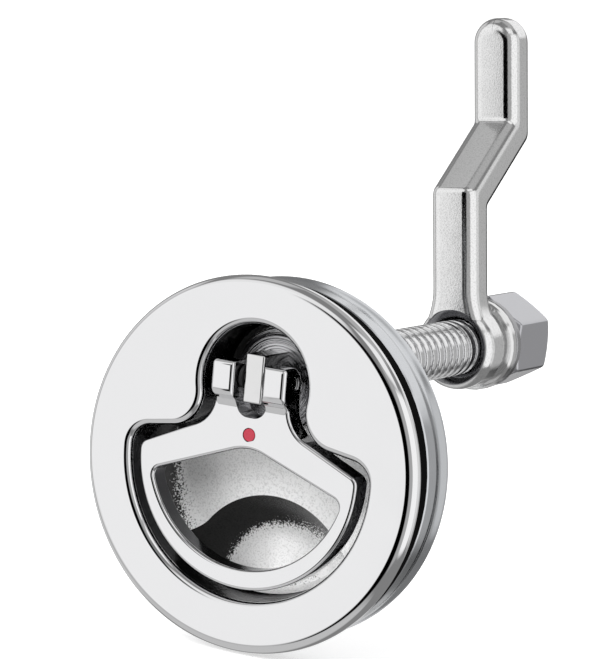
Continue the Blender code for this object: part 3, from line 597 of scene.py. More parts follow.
# %% Keyhole recess
def keyhole_half(inset):
    """Right half of the keyhole: lobe, neck, shoulder, corner and bowl, each tangent to the next."""
    neck_z = SHOULDER_HEIGHT + NECK_FILLET
    neck_x = math.sqrt((LOBE_RADIUS + NECK_FILLET) ** 2 - (SPINDLE_HEIGHT - neck_z) ** 2)
    neck_turn = math.degrees(math.atan2(neck_z - SPINDLE_HEIGHT, neck_x))
    reach = BOWL_RADIUS - SHOULDER_CORNER
    horn = falling_corner((neck_x, neck_z), SHOULDER_SLOPE, NECK_FILLET + SHOULDER_CORNER, (0, 0), reach)
    bowl_turn = math.degrees(math.atan2(horn[1], horn[0]))
    lobe = arc((0, SPINDLE_HEIGHT), LOBE_RADIUS - inset, 90, neck_turn, 40)
    neck = arc((neck_x, neck_z), NECK_FILLET + inset, neck_turn + 180, 270 - SHOULDER_SLOPE, 22)
    corner = arc(horn, SHOULDER_CORNER - inset, 90 - SHOULDER_SLOPE, bowl_turn, 16)
    bowl = arc((0, 0), BOWL_RADIUS - inset, bowl_turn, -90, 60)
    return lobe + neck[1:] + corner + bowl[1:]


def keyhole_cavity():
    """Rolled mouth, straight walls and filleted floor of the recess."""
    rings = [(FACE - 2, -MOUTH_ROLL)]
    for step in range(9):
        turn = math.radians(90 * step / 8)
        rings.append((FACE + MOUTH_ROLL * (1 - math.cos(turn)), -MOUTH_ROLL * (1 - math.sin(turn))))
    for step in range(11):
        turn = math.radians(90 * step / 10)
        depth = CUP_FLOOR - LOBE_FLOOR_FILLET * (1 - math.sin(turn))
        rings.append((depth, LOBE_FLOOR_FILLET * (1 - math.cos(turn))))
    return loft([at_depth(mirrored(keyhole_half(inset)), y) for y, inset in rings])


def bowl_form():
    """Turned form that rounds the bowl's floor, with room for the lobe."""
    floor = CUP_FLOOR + 0.05
    wall = BOWL_RADIUS + 0.05
    shelf = floor - BOWL_FLOOR_FILLET
    bend = arc((wall - BOWL_FLOOR_FILLET, shelf), BOWL_FLOOR_FILLET, 0, 90, 14)
    profile = [(0, FACE - 4), (FLANGE_RADIUS, FACE - 4), (FLANGE_RADIUS, shelf)] + bend + [(0, floor)]
    lobe = cylinder(LOBE_RADIUS + MOUTH_ROLL, shelf - 2, floor + 2, 120, SPINDLE_HEIGHT)
    return carved(turned(profile, 180), ("UNION", lobe))


print("points round the keyhole:", len(mirrored(keyhole_half(0))))

# %% [markdown]
# The finger scoop starts as a ball cut at its rim and is deepest along a ring a few millimetres inside
# it. From there the floor swells gently towards the middle, so that its lower half faces up to the light
# while its upper half stays in shade, and the photograph's bright crescent lies under a dark one. The
# floor is given as tilts at some distances from the middle, and the profile adds up their slopes.

# %% Finger scoop
SCOOP_CUTTER_RISE = 7
SCOOP_TILTS = ((0, -20), (9.5, -20), (12, 8), (14, 30), (17, 44), (20, 51))
SCOOP_STEPS = 60


def ball(radius, y, height, steps):
    """Sphere turned about a line along Y."""
    turns = [math.pi * step / steps for step in range(steps + 1)]
    profile = [(radius * math.sin(turn), y - radius * math.cos(turn)) for turn in turns]
    return turned(profile, 2 * steps, height)


def scoop_form(radius, y):
    """A ball's zone above the cup's floor, and below it the hollow that SCOOP_TILTS draws."""
    profile = [(0, CUP_FLOOR - SCOOP_CUTTER_RISE)]
    for step in range(SCOOP_CUTTER_RISE + 1):
        depth = CUP_FLOOR - SCOOP_CUTTER_RISE + step
        profile.append((math.sqrt(radius**2 - (depth - y) ** 2), depth))
    places, tilts = zip(*SCOOP_TILTS)
    depth = CUP_FLOOR
    for step in range(SCOOP_STEPS):
        middle = SCOOP_MOUTH * (1 - (step + 0.5) / SCOOP_STEPS)
        depth += math.tan(math.radians(np.interp(middle, places, tilts))) * SCOOP_MOUTH / SCOOP_STEPS
        profile.append((SCOOP_MOUTH * (1 - (step + 1) / SCOOP_STEPS), depth))
    return turned(profile, 128, SCOOP_HEIGHT)


print("scoop mouth:", round(2 * SCOOP_MOUTH, 1), "mm across")

# %% [markdown]
# The casting is put together in the order of its forms: the turned flange and skirt, the scoop's shell,
# the bearing tube with its stop lug, and then the cuts for recess, head pocket, scoop and bore. Its
# finish is chosen face by face: buffed outside and on the rolled mouth, dark grey painted shade on the
# steep walls, and blasted on floor and scoop, with painted shade where they turn from the light.


# %% Housing
def housing_solid():
    edge = arc((FLANGE_RADIUS - FLANGE_EDGE, FACE + FLANGE_EDGE), FLANGE_EDGE, -90, 0, 12)
    inner_skirt = BODY_RADIUS - SKIRT_WALL
    profile = [(0, FACE)] + edge + [(FLANGE_RADIUS, -BACK_CHAMFER), (FLANGE_RADIUS - BACK_CHAMFER, 0)]
    profile += [(BODY_RADIUS, 0), (BODY_RADIUS, SKIRT_BACK), (inner_skirt, SKIRT_BACK)]
    profile += [(inner_skirt, FLOOR_BACK), (0, FLOOR_BACK)]
    scoop_radius = (SCOOP_MOUTH**2 + SCOOP_DEPTH**2) / (2 * SCOOP_DEPTH)
    scoop_y = CUP_FLOOR + SCOOP_DEPTH - scoop_radius
    limit = cylinder(BODY_RADIUS - 0.2, CUP_FLOOR, CUP_FLOOR + 60, 160)
    shell = carved(ball(scoop_radius + SCOOP_WALL, scoop_y, SCOOP_HEIGHT, 40), ("INTERSECT", limit))
    lug_centre = (0, SPINDLE_HEIGHT)
    lug = arc(lug_centre, TUBE_RADIUS, -STOP_LUG_HALF_ANGLE, STOP_LUG_HALF_ANGLE, 16)
    lug += arc(lug_centre, TUBE_RADIUS - STOP_LUG_WALL, STOP_LUG_HALF_ANGLE, -STOP_LUG_HALF_ANGLE, 16)
    lug_ends = (TUBE_BACK - 1, TUBE_BACK + STOP_LUG_LENGTH)
    walls = [at_depth(mirrored(keyhole_half(0.1)), y) for y in (CUP_FLOOR - 2, CUP_FLOOR + 60)]
    scoop = carved(scoop_form(scoop_radius, scoop_y), ("INTERSECT", loft(walls)))
    return carved(
        turned(profile, 240),
        ("UNION", shell),
        ("UNION", cylinder(TUBE_RADIUS, CUP_FLOOR + 1, TUBE_BACK, 120, SPINDLE_HEIGHT)),
        ("UNION", loft([at_depth(lug, y) for y in lug_ends])),
        ("DIFFERENCE", carved(keyhole_cavity(), ("INTERSECT", bowl_form()))),
        ("DIFFERENCE", cylinder(HEAD_POCKET_RADIUS, CUP_FLOOR - 4, CUP_FLOOR + 0.1, 120, SPINDLE_HEIGHT)),
        ("DIFFERENCE", scoop),
        ("DIFFERENCE", cylinder(BORE_RADIUS, CUP_FLOOR - 5, TUBE_BACK + 5, 96, SPINDLE_HEIGHT)),
    )


def cup_finish(centre, normal):
    """Material index of a face of the housing: 0 buffed, 1 blasted floor and scoop, 2 wall in painted
    shade.
    """
    x, y, z = centre
    within = math.hypot(x, z) < BOWL_RADIUS + 0.1 or math.hypot(x, z - SPINDLE_HEIGHT) < LOBE_RADIUS + 0.1
    if not within or normal.y > 0.1 or y > CUP_FLOOR + SCOOP_DEPTH:
        return 0
    wall_start = FACE + MOUTH_ROLL
    if wall_start < y < CUP_FLOOR - 0.3 and abs(normal.y) < 0.45:
        return 2
    return 1 if y > wall_start else 0


housing = add_piece("housing", housing_solid(), polished_steel, "latch", "polished_steel")
counts = dress(housing, (blasted_steel, painted_shade_wall_steel), cup_finish)
print("housing faces, buffed, blasted and dark:", counts)

# %% [markdown]
# The handle is a plate that lies flush in the recess: a D-shaped ring with sloping shoulders, a round dot
# seat, and two ears that rise on fillets about the slot. Its edges are rounded before the buffing wheel
# softens them further.

# %% Handle sizes
PLATE = 5.0
PLATE_EDGE = 0.7
HANDLE_RADIUS = BOWL_RADIUS - 2.4
NECK_HALF = 8.4
HANDLE_NECK_FILLET = 7.0
HANDLE_NECK_HEIGHT = SPINDLE_HEIGHT - 3.35
HANDLE_SLOPE = 24.0
HANDLE_CORNER = 2.2
OPENING_RADIUS = HANDLE_RADIUS - 2.5
OPENING_CENTRE = 1.5
OPENING_APEX = SPINDLE_HEIGHT - 13.0
OPENING_APEX_RADIUS = 10.0
OPENING_SLOPE = 20.0
OPENING_CORNER = 1.9
PIN_HEIGHT = SPINDLE_HEIGHT + 1.1
PIN_Y = -1.03
PIN_HOLE_RADIUS = 1.65
EAR_RADIUS = 3.2
EAR_RISE = 2.4
EAR_FILLET = 2.8
EAR_BROW = 2.2
EAR_FOOT = 6.5
EAR_EDGE = 0.9
SLOT_HALF = 3.4
SLOT_LIP = 0.8
SLOT_FOOT = PIN_HEIGHT - 7.8
DOT_SEAT_RADIUS = 1.45
DOT_HEIGHT = SPINDLE_HEIGHT - 10.1
DOT_SEAT_DEPTH = 0.9
print("grip", round(2 * HANDLE_RADIUS, 1), "mm wide in a recess of", 2 * BOWL_RADIUS)

# %% [markdown]
# Two outlines draw the plate: its outer edge up to the ears, and the finger opening. Each is written as a
# right half and mirrored. Each also takes an inset, so that the same function serves the flat and every
# ring of its rounded edge.


# %% Outlines of the grip
def handle_half(inset):
    """Right half of the handle's outer edge, up to the ears."""
    neck_centre = (NECK_HALF + HANDLE_NECK_FILLET, HANDLE_NECK_HEIGHT)
    reach = HANDLE_RADIUS - HANDLE_CORNER
    corner = falling_corner(neck_centre, HANDLE_SLOPE, HANDLE_NECK_FILLET + HANDLE_CORNER, (0, 0), reach)
    bowl_turn = math.degrees(math.atan2(corner[1], corner[0]))
    top = HANDLE_NECK_HEIGHT + 0.6
    return (
        [(0, top), (NECK_HALF - 0.6, top)]
        + arc(neck_centre, HANDLE_NECK_FILLET + inset, 180, 270 - HANDLE_SLOPE, 24)
        + arc(corner, HANDLE_CORNER - inset, 90 - HANDLE_SLOPE, bowl_turn, 14)
        + arc((0, 0), HANDLE_RADIUS - inset, bowl_turn, -90, 60)[1:]
    )


def opening_half(grow):
    """Right half of the finger opening: roof, corner and bowl."""
    rise = OPENING_APEX_RADIUS * (1 / math.cos(math.radians(OPENING_SLOPE)) - 1)
    roof_centre = (0, OPENING_APEX - OPENING_APEX_RADIUS)
    bowl_centre = (0, OPENING_CENTRE)
    reach = OPENING_RADIUS - OPENING_CORNER
    corner = falling_corner((0, OPENING_APEX + rise), OPENING_SLOPE, OPENING_CORNER, bowl_centre, reach)
    bowl_turn = math.degrees(math.atan2(corner[1] - OPENING_CENTRE, corner[0]))
    return (
        arc(roof_centre, OPENING_APEX_RADIUS + grow, 90, 90 - OPENING_SLOPE, 10)
        + arc(corner, OPENING_CORNER + grow, 90 - OPENING_SLOPE, bowl_turn, 16)
        + arc(bowl_centre, OPENING_RADIUS + grow, bowl_turn, -90, 60)[1:]
    )


def rounded_stations(radius, steps=6):
    """Stations of a plate with both edges rounded, as (y, inset)."""
    back = FACE + PLATE
    turns = [math.radians(90 * step / steps) for step in range(steps + 1)]
    front_edge = [(FACE + radius * (1 - math.cos(a)), radius * (1 - math.sin(a))) for a in turns]
    back_edge = [(back - radius * (1 - math.cos(a)), radius * (1 - math.sin(a))) for a in reversed(turns)]
    return front_edge + back_edge


print("points round grip and opening:", len(mirrored(handle_half(0))), len(mirrored(opening_half(0))))

# %% [markdown]
# The ears are lofted from side to side out of one side view: a front that swells out of the plate on an
# S-shaped foot, and a back that is round about the hinge pin. Their outer edges shrink along a quarter
# round. The slot for the spindle's tongue is cut between them, and grows towards the front, where the
# wheel has rounded its edges.


# %% Ears and slot
def ear_outline(inset):
    """Side of the ears as (y, z) points: a swelling front, and a round back about the pin."""
    front = FACE - EAR_RISE
    top = PIN_HEIGHT + EAR_RADIUS
    foot = PIN_HEIGHT - EAR_FOOT
    reach = EAR_FILLET + EAR_BROW
    sweep = math.acos(1 - (EAR_RISE + 0.03) / reach)
    turn = math.degrees(sweep)
    hollow = (FACE + 0.03 - EAR_FILLET, foot)
    brow = (hollow[0] + reach * math.cos(sweep), foot + reach * math.sin(sweep))
    fillet = arc(hollow, EAR_FILLET + inset, 0, turn, 12)
    fillet += arc(brow, EAR_BROW - inset, 180 + turn, 180, 12)[1:]
    corner = arc((front + 1, top - 1), 1 - inset, 180, 90, 10)
    back = arc((PIN_Y, PIN_HEIGHT), EAR_RADIUS - inset, 90, 0, 20)
    return fillet + corner + back + [(PIN_Y + EAR_RADIUS - inset, foot)]


def ear_block():
    sections = []
    for side, turns in ((-1, (90, 72, 54, 36, 18, 0)), (1, (0, 18, 36, 54, 72, 90))):
        for turn in turns:
            angle = math.radians(turn)
            x = side * (NECK_HALF - EAR_EDGE * (1 - math.sin(angle)))
            sections.append([(x, y, z) for y, z in ear_outline(EAR_EDGE * (1 - math.cos(angle)))])
    return loft(sections)


def slot_block():
    """Slot between the ears, whose front edges the wheel has rounded."""
    corner = 0.8 * SLOT_HALF
    front = FACE - EAR_RISE
    turns = [math.radians(90 * step / 7) for step in range(8)]
    stations = [(FACE - 6, SLOT_LIP)]
    stations += [(front + SLOT_LIP * (1 - math.cos(a)), SLOT_LIP * (1 - math.sin(a))) for a in turns]
    rings = []
    for y, grow in stations + [(FACE + 10, 0.0)]:
        outline = arc((SLOT_HALF - corner, SLOT_FOOT + corner), corner + grow, 0, -90, 12)
        outline += arc((corner - SLOT_HALF, SLOT_FOOT + corner), corner + grow, -90, -180, 12)
        top = PIN_HEIGHT + 2 * EAR_RADIUS
        outline += [(-SLOT_HALF - grow, top), (SLOT_HALF + grow, top)]
        rings.append(at_depth(outline, y))
    return loft(rings)


print("points of the ears' side view:", len(ear_outline(0)))

# %% [markdown]
# The grip is joined and cut like the housing. Its face and outside are buffed. Only the inner sides of
# the opening get a dark painted shade, which draws the dark line round the opening.


# %% Handle
def handle_solid():
    back = FACE + PLATE
    plate = loft([at_depth(mirrored(handle_half(inset)), y) for y, inset in rounded_stations(PLATE_EDGE)])
    inner = [(FACE - 2, PLATE_EDGE)] + rounded_stations(PLATE_EDGE) + [(back + 2, PLATE_EDGE)]
    opening = loft([at_depth(mirrored(opening_half(grow)), y) for y, grow in inner])
    return carved(
        plate,
        ("UNION", ear_block()),
        ("DIFFERENCE", opening),
        ("DIFFERENCE", slot_block()),
        ("DIFFERENCE", cross_cylinder(PIN_HOLE_RADIUS, 17, PIN_Y, PIN_HEIGHT, 48)),
        ("DIFFERENCE", cylinder(DOT_SEAT_RADIUS, FACE - 1, FACE + DOT_SEAT_DEPTH, 48, DOT_HEIGHT)),
    )


def opening_wall(centre, normal):
    """Whether a face lies on the inner side of the grip's opening, behind its rounded edge."""
    x, y, z = centre
    outside = math.hypot(x, z) > OPENING_RADIUS + 1.6 or z > OPENING_APEX + 1
    behind = y > FACE + PLATE_EDGE + 0.1 and normal.y < 0.9
    return behind and not outside and z < HANDLE_NECK_HEIGHT


handle = add_piece("handle", handle_solid(), polished_steel, "grip", "polished_steel")
counts = dress(handle, (painted_shade_opening_steel,), opening_wall)
print("handle faces, buffed and wiped:", counts)

# %% [markdown]
# The cam is a cast arm, tumbled to a satin skin, that catches behind the door frame. Its sizes are the
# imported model's too, with a few micrometres off the tip for the same reason as at the flange.

# %% Cam sizes
CAM_PLACE = 81.1
CAM_WIDTH = 10.8
CAM_DEPTH = 9.3
ARM_DEPTH = 8.6
CAM_EDGE = 2.8
BEND_RADIUS = 1.8
LOWER_BEND = 32.0
UPPER_BEND = 45.8
CAM_OFFSET = 19.7
CAM_LENGTH = 70.295
EYE_RADIUS = 9.2
COUNTERSINK = 2.1
FLARE = 1.6
CAM_TURN = -6.0
print("cam reaches", CAM_LENGTH, "mm from the spindle and steps back", CAM_OFFSET)

# %% [markdown]
# The arm's section is a rectangle with large round corners, led up through two mitred bends to a round
# tip, and its foot flares into the eye that the spindle screws through. A curve with a bevel could follow
# that path, but in a loft each station also has its own width, as the foot and the tip need.


# %% Cam
def rounded_section(half_width, half_depth, radius, steps=7):
    """Rectangle with rounded corners as (across, deep) points."""
    points = []
    for start, x_sign, y_sign in ((0, 1, 1), (90, -1, 1), (180, -1, -1), (270, 1, -1)):
        centre = (x_sign * (half_width - radius), y_sign * (half_depth - radius))
        points += arc(centre, radius, start, start + 90, steps)
    return points


def arm_solid():
    """The arm alone, upright, with its foot's middle at the origin of the cam."""
    half = CAM_WIDTH / 2
    arm_half = ARM_DEPTH / 2
    shift = arm_half - CAM_DEPTH / 2
    sections = []

    def station(z, y, slant, half_width):
        section = rounded_section(half_width, arm_half, CAM_EDGE)
        sections.append([(x, y + shift + deep, z - deep * slant) for x, deep in section])

    foot = 0.6 * EYE_RADIUS
    flare_end = EYE_RADIUS + 2 * FLARE
    for step in range(11):
        share = step / 10
        station(foot + share * (flare_end - foot), 0, 0, half + FLARE * (1 - share) ** 2)
    lean = math.atan2(CAM_OFFSET, UPPER_BEND - LOWER_BEND)
    tangent = BEND_RADIUS * math.tan(lean / 2)
    for corner_z, corner_y, sign in ((LOWER_BEND, 0, 1), (UPPER_BEND, CAM_OFFSET, -1)):
        stations = []
        for step in range(9):
            angle = lean * step / 8
            z = BEND_RADIUS * math.sin(angle) - tangent
            stations.append((corner_z + sign * z, corner_y + sign * BEND_RADIUS * (1 - math.cos(angle))))
        for z, y in stations[::sign]:
            station(z, y, math.tan(lean / 2), half)
    for step in range(25):
        angle = math.radians(89.5 * step / 24)
        ring = []
        for x, deep in rounded_section(half, arm_half, CAM_EDGE):
            height = CAM_LENGTH - half + abs(x) * math.sin(angle)
            ring.append((x * math.cos(angle), CAM_OFFSET + shift + deep, height))
        sections.append(ring)
    return loft(sections)


def cam_solid():
    """Arm, eye, countersink and bore, turned on the spindle and set at its place along it."""
    half = CAM_DEPTH / 2
    rim = arc((EYE_RADIUS - CAM_EDGE, CAM_EDGE - half), CAM_EDGE, -90, 0, 10)
    rim += arc((EYE_RADIUS - CAM_EDGE, half - CAM_EDGE), CAM_EDGE, 0, 90, 10)
    eye = turned([(0, -half)] + rim + [(0, half)], 120)
    bore = SHANK_RADIUS + BORE_PLAY
    mouth = bore + COUNTERSINK
    tap = [(0, -half - 2), (mouth + 2, -half - 2), (bore, COUNTERSINK - half)]
    tap += [(bore, half + 2), (0, half + 2)]
    mesh = carved(arm_solid(), ("UNION", eye), ("DIFFERENCE", turned(tap, 120)))
    place = Vector((0, CAM_PLACE + half, SPINDLE_HEIGHT)) * MM
    mesh.transform(Matrix.Translation(place) @ Matrix.Rotation(math.radians(CAM_TURN), 4, "Y"))
    return mesh


def countersink_face(centre, normal):
    """Whether a face lies on the eye's countersink."""
    within = math.hypot(centre.x, centre.z - SPINDLE_HEIGHT) < SHANK_RADIUS + COUNTERSINK
    return within and -0.95 < normal.y < -0.3


cam = add_piece("cam", cam_solid(), satin_steel, "latch", "satin_steel")
counts = dress(cam, (painted_shade_countersink_steel,), countersink_face)
print("cam faces, tumbled and countersunk:", counts)

# %% [markdown]
# The spindle is turned in one piece: a stepped head, a milled tongue that carries the hinge pin, and a
# long shank with a coarse, rounded thread that the cam and the nut run on.

# %% Spindle sizes
HEAD_FRONT = 6.85
HEAD_BACK = 8.85
HEAD_RADIUS = 10.4
HEAD_STEP = 9.2
HEAD_STEP_DEPTH = 0.8
TONGUE = (4.2, 9.8)
TONGUE_EDGE = 0.38
GROOVE = (42.55, 44.15)
GROOVE_RADIUS = 5.2
THREAD_START = 45.0
SPINDLE_END = 112.0
THREAD_PITCH = 2.87
THREAD_ROOT = 4.9
THREAD_RUN_OUT = 1.2
THREAD_FLANK = (0.11, 0.28)  # shares of half a pitch, from the root's end to the crest's start
THREAD_SIDES = 72
THREAD_RINGS = 860
FLAT_DEPTH = 0.7
EDGE_BREAK = 0.3
print("turns of thread:", round((SPINDLE_END - THREAD_START) / THREAD_PITCH, 1))

# %% [markdown]
# Relief in the material alone would leave the thread's outline straight, and a swept ridge would cross
# itself at the ends. So a small node tree moves the side of a plain cylinder in and out, with a wave that
# climbs by one pitch a turn and runs out at both ends. The tree gets its sizes as named inputs.


# %% Thread by Geometry Nodes
def thread_tree():
    """Node group that makes a threaded rod along Z, centred on the origin."""
    tree = bpy.data.node_groups.new("threaded_rod", "GeometryNodeTree")
    names = ("Geometry", "Pitch", "Crest Radius", "Root Radius", "Length", "Run-out", "Finish")
    kinds = ("Geometry", *["Float"] * 5, "Material")
    sockets = {}
    for name, kind in zip(names, kinds):
        sockets[name] = tree.interface.new_socket(name, in_out="INPUT", socket_type="NodeSocket" + kind)
    tree.interface.new_socket("Geometry", in_out="OUTPUT", socket_type="NodeSocketGeometry")
    given = add_node(tree, "NodeGroupInput").outputs
    size = {"Vertices": THREAD_SIDES, "Side Segments": THREAD_RINGS}
    size.update({"Radius": given["Crest Radius"], "Depth": given["Length"]})
    rod = add_node(tree, "GeometryNodeMeshCylinder", inputs=size)
    place = add_node(tree, "GeometryNodeInputPosition").outputs[0]
    parts = add_node(tree, "ShaderNodeSeparateXYZ", inputs={0: place}).outputs
    known = {name: given[name] for name in names[1:-1]}
    known.update({"x": parts["X"], "y": parts["Y"], "z": parts["Z"]})
    # Each step of the sums names its result, its operation and its terms.
    wave_steps = (
        ("angle", "ARCTAN2", "y", "x"),
        ("turn", "DIVIDE", "angle", 2 * math.pi),
        ("climb", "DIVIDE", "z", "Pitch"),
        ("phase", "SUBTRACT", "climb", "turn"),
        ("wave", "PINGPONG", "phase", 0.5),
    )
    radius_steps = (
        ("half length", "MULTIPLY", "Length", 0.5),
        ("off middle", "ABSOLUTE", "z"),
        ("to end", "SUBTRACT", "half length", "off middle"),
        ("run", "DIVIDE", "to end", "Run-out"),
        ("fade", "MINIMUM", "run", 1.0),
        ("depth", "SUBTRACT", "Crest Radius", "Root Radius"),
        ("faded", "MULTIPLY", "rounded", "fade"),
        ("rise", "MULTIPLY", "depth", "faded"),
        ("radius", "ADD", "Root Radius", "rise"),
        ("share", "DIVIDE", "radius", "Crest Radius"),
        ("new x", "MULTIPLY", "x", "share"),
        ("new y", "MULTIPLY", "y", "share"),
    )
    for steps in (wave_steps, radius_steps):
        for name, operation, *terms in steps:
            inputs = {index: known.get(term, term) for index, term in enumerate(terms)}
            known[name] = add_node(tree, "ShaderNodeMath", {"operation": operation}, inputs).outputs[0]
        if steps is wave_steps:
            start, end = THREAD_FLANK
            flank = {"Value": known["wave"], "From Min": start, "From Max": end}
            flank.update({"To Min": 0.0, "To Max": 1.0})
            known["rounded"] = add_node(tree, "ShaderNodeMapRange", SMOOTH, flank).outputs["Result"]
    target = {"X": known["new x"], "Y": known["new y"], "Z": known["z"]}
    moved = add_node(tree, "ShaderNodeCombineXYZ", inputs=target).outputs[0]
    shift = {"Geometry": rod.outputs["Mesh"], "Position": moved}
    shaped = add_node(tree, "GeometryNodeSetPosition", inputs=shift).outputs[0]
    real = add_node(tree, "GeometryNodeRealizeInstances", inputs={0: shaped}).outputs[0]
    finish = {"Geometry": real, "Material": given["Finish"]}
    dressed = add_node(tree, "GeometryNodeSetMaterial", inputs=finish).outputs[0]
    add_node(tree, "NodeGroupOutput", inputs={0: dressed})
    return tree, {name: socket.identifier for name, socket in sockets.items()}


def thread_mesh(finish):
    """The threaded length of the spindle as a plain mesh at its place."""
    tree, names = thread_tree()
    holder = bpy.data.objects.new("thread", bpy.data.meshes.new("thread"))
    scene.collection.objects.link(holder)
    nodes = holder.modifiers.new("thread", "NODES")
    nodes.node_group = tree
    values = {
        "Pitch": THREAD_PITCH * MM,
        "Crest Radius": SHANK_RADIUS * MM,
        "Root Radius": THREAD_ROOT * MM,
        "Length": (SPINDLE_END - THREAD_START) * MM,
        "Run-out": THREAD_RUN_OUT * MM,
        "Finish": finish,
    }
    for name, value in values.items():
        nodes[names[name]] = value
    graph = bpy.context.evaluated_depsgraph_get()
    mesh = bpy.data.meshes.new_from_object(holder.evaluated_get(graph))
    holder.modifiers.remove(nodes)
    bpy.data.objects.remove(holder)
    middle = Vector((0, (SPINDLE_END + THREAD_START) / 2, SPINDLE_HEIGHT)) * MM
    mesh.transform(Matrix.Translation(middle) @ Matrix.Rotation(math.radians(-90), 4, "X"))
    return mesh


threaded = thread_mesh(turned_steel)
print("faces of the threaded length:", len(threaded.polygons))

# %% [markdown]
# Head, tongue and plain shank are one turned form with the tongue joined on and the pin's hole cut. The
# flat for the stop washer is milled along both lengths, so it is cut from each before they become one
# mesh. The head's front gets the faced steel and the thread the steel with painted shade at its root.


# %% Spindle
def tongue_block():
    """Tongue of the spindle, with its edges rounded."""
    length = HEAD_FRONT - FACE + 0.5
    work = bmesh.new()
    bmesh.ops.create_cube(work, size=1)
    bmesh.ops.scale(work, vec=(TONGUE[0], length, TONGUE[1]), verts=work.verts)
    bmesh.ops.bevel(work, geom=work.edges[:], offset=TONGUE_EDGE, segments=5, affect="EDGES", profile=0.5)
    bmesh.ops.translate(work, vec=(0, FACE + length / 2, PIN_HEIGHT), verts=work.verts)
    return closed_mesh(work)


def spindle_solid(thread):
    """Head, tongue and plain shank, joined with the threaded length."""
    groove_front, groove_back = GROOVE
    profile = [
        (0, HEAD_FRONT),
        (HEAD_STEP - EDGE_BREAK, HEAD_FRONT),
        (HEAD_STEP, HEAD_FRONT + EDGE_BREAK),
        (HEAD_STEP, HEAD_FRONT + HEAD_STEP_DEPTH),
        (HEAD_RADIUS - EDGE_BREAK, HEAD_FRONT + HEAD_STEP_DEPTH),
        (HEAD_RADIUS, HEAD_FRONT + HEAD_STEP_DEPTH + EDGE_BREAK),
        (HEAD_RADIUS, HEAD_BACK),
        (SHANK_RADIUS, HEAD_BACK),
        (SHANK_RADIUS, groove_front),
        (GROOVE_RADIUS, groove_front),
        (GROOVE_RADIUS, groove_back),
        (SHANK_RADIUS, groove_back),
        (SHANK_RADIUS, THREAD_START + 0.2),
        (THREAD_ROOT, THREAD_START + 0.8),
        (0, THREAD_START + 0.8),
    ]
    head = turned(profile, 120, SPINDLE_HEIGHT)
    front = carved(
        head,
        ("UNION", tongue_block()),
        ("DIFFERENCE", cross_cylinder(PIN_HOLE_RADIUS, 6, PIN_Y, PIN_HEIGHT, 48)),
    )
    flat_centre = (-SHANK_RADIUS * 1.5 + FLAT_DEPTH, TUBE_BACK + 55, SPINDLE_HEIGHT)
    work = bmesh.new()
    for mesh in (front, thread):
        flattened = carved(mesh, ("DIFFERENCE", box((SHANK_RADIUS, 110, 2 * SHANK_RADIUS), flat_centre)))
        work.from_mesh(flattened)
        bpy.data.meshes.remove(flattened)
    joined = bpy.data.meshes.new("spindle")
    work.to_mesh(joined)
    work.free()
    return joined


def spindle_finish(centre, normal):
    """Material index of a face of the spindle: 0 turned, 1 faced front of the head, 2 thread."""
    if HEAD_FRONT - 0.2 < centre.y < HEAD_BACK and normal.y < -0.9:
        return 1
    return 2 if THREAD_START + 1 < centre.y < SPINDLE_END - 0.01 else 0


spindle = add_piece("spindle", spindle_solid(threaded), turned_steel, "latch", "turned_steel", 40)
counts = dress(spindle, (faced_steel, threaded_steel), spindle_finish)
print("spindle faces, turned, faced and threaded:", counts)

# %% [markdown]
# The ring nut screws up the cup from behind. It is turned, with a shallow groove round the middle of its
# rim that shows as a dark smear in side light, a chamfer at the back, and four holes there for a pin
# spanner.

# %% Ring nut
RING_FRONT = 5.0
RING_BACK = 14.4
RING_RADIUS = 36.45
RING_BORE = BODY_RADIUS + 0.3
GROOVE_START = 8.0
GROOVE_SLOPE = 2.6
GROOVE_RETURN = 2.7
GROOVE_DEPTH = 0.38
SPANNER_HOLE_RADIUS = 1.3
SPANNER_HOLE_DEPTH = 3.5


def ring_solid():
    """Turned ring with its shallow groove, chamfer and spanner holes."""
    profile = [(RING_BORE, RING_FRONT), (RING_RADIUS - 0.4, RING_FRONT), (RING_RADIUS, RING_FRONT + 0.4)]
    for start, length, rise in ((0, GROOVE_SLOPE, False), (GROOVE_SLOPE, GROOVE_RETURN, True)):
        for step in range(9):
            share = step / 8
            sink = GROOVE_DEPTH * (0.5 - 0.5 * math.cos(math.pi * (1 - share if rise else share)))
            profile.append((RING_RADIUS - sink, GROOVE_START + start + share * length + 0.001 * rise))
    profile += [(RING_RADIUS, RING_BACK - 1), (RING_RADIUS - 1, RING_BACK), (RING_BORE, RING_BACK)]
    holes = []
    middle = (RING_RADIUS + RING_BORE) / 2
    for index in range(4):
        angle = math.radians(45 + 90 * index)
        hole = cylinder(SPANNER_HOLE_RADIUS, RING_BACK - SPANNER_HOLE_DEPTH, RING_BACK + 1, 32)
        place = Vector((middle * math.cos(angle), 0, middle * math.sin(angle)))
        hole.transform(Matrix.Translation(place * MM))
        holes.append(("DIFFERENCE", hole))
    return carved(turned(profile, 240), *holes)


ring = add_piece("ring_nut", ring_solid(), ring_steel, "latch", "turned_steel")
print("ring nut faces:", len(ring.polygons))

# %% [markdown]
# The nut is a hexagon turned down to a cone at both ends. Real edges on it are soft, so its radius at
# each angle and depth is worked out from both forms with a smooth corner between them.

# %% Hexagon nut
NUT_FRONT = 95.3
NUT_BACK = 110.0
NUT_FLAT = 9.0
NUT_BLEND = 0.22
NUT_CORNER_POWER = 40
NUT_CONE_SLOPE = 30
NUT_CONE_INSET = 0.25


def nut_radius(angle, end_distance):
    """Radius of the nut at an angle, at a distance from its nearer end."""
    leans = [max(math.cos(angle - math.radians(60 * side)), 0) for side in range(6)]
    flat = NUT_FLAT / sum(lean**NUT_CORNER_POWER for lean in leans) ** (1 / NUT_CORNER_POWER)
    cone = NUT_FLAT - NUT_CONE_INSET + end_distance / math.tan(math.radians(NUT_CONE_SLOPE))
    return -NUT_BLEND * math.log(math.exp(-flat / NUT_BLEND) + math.exp(-cone / NUT_BLEND))


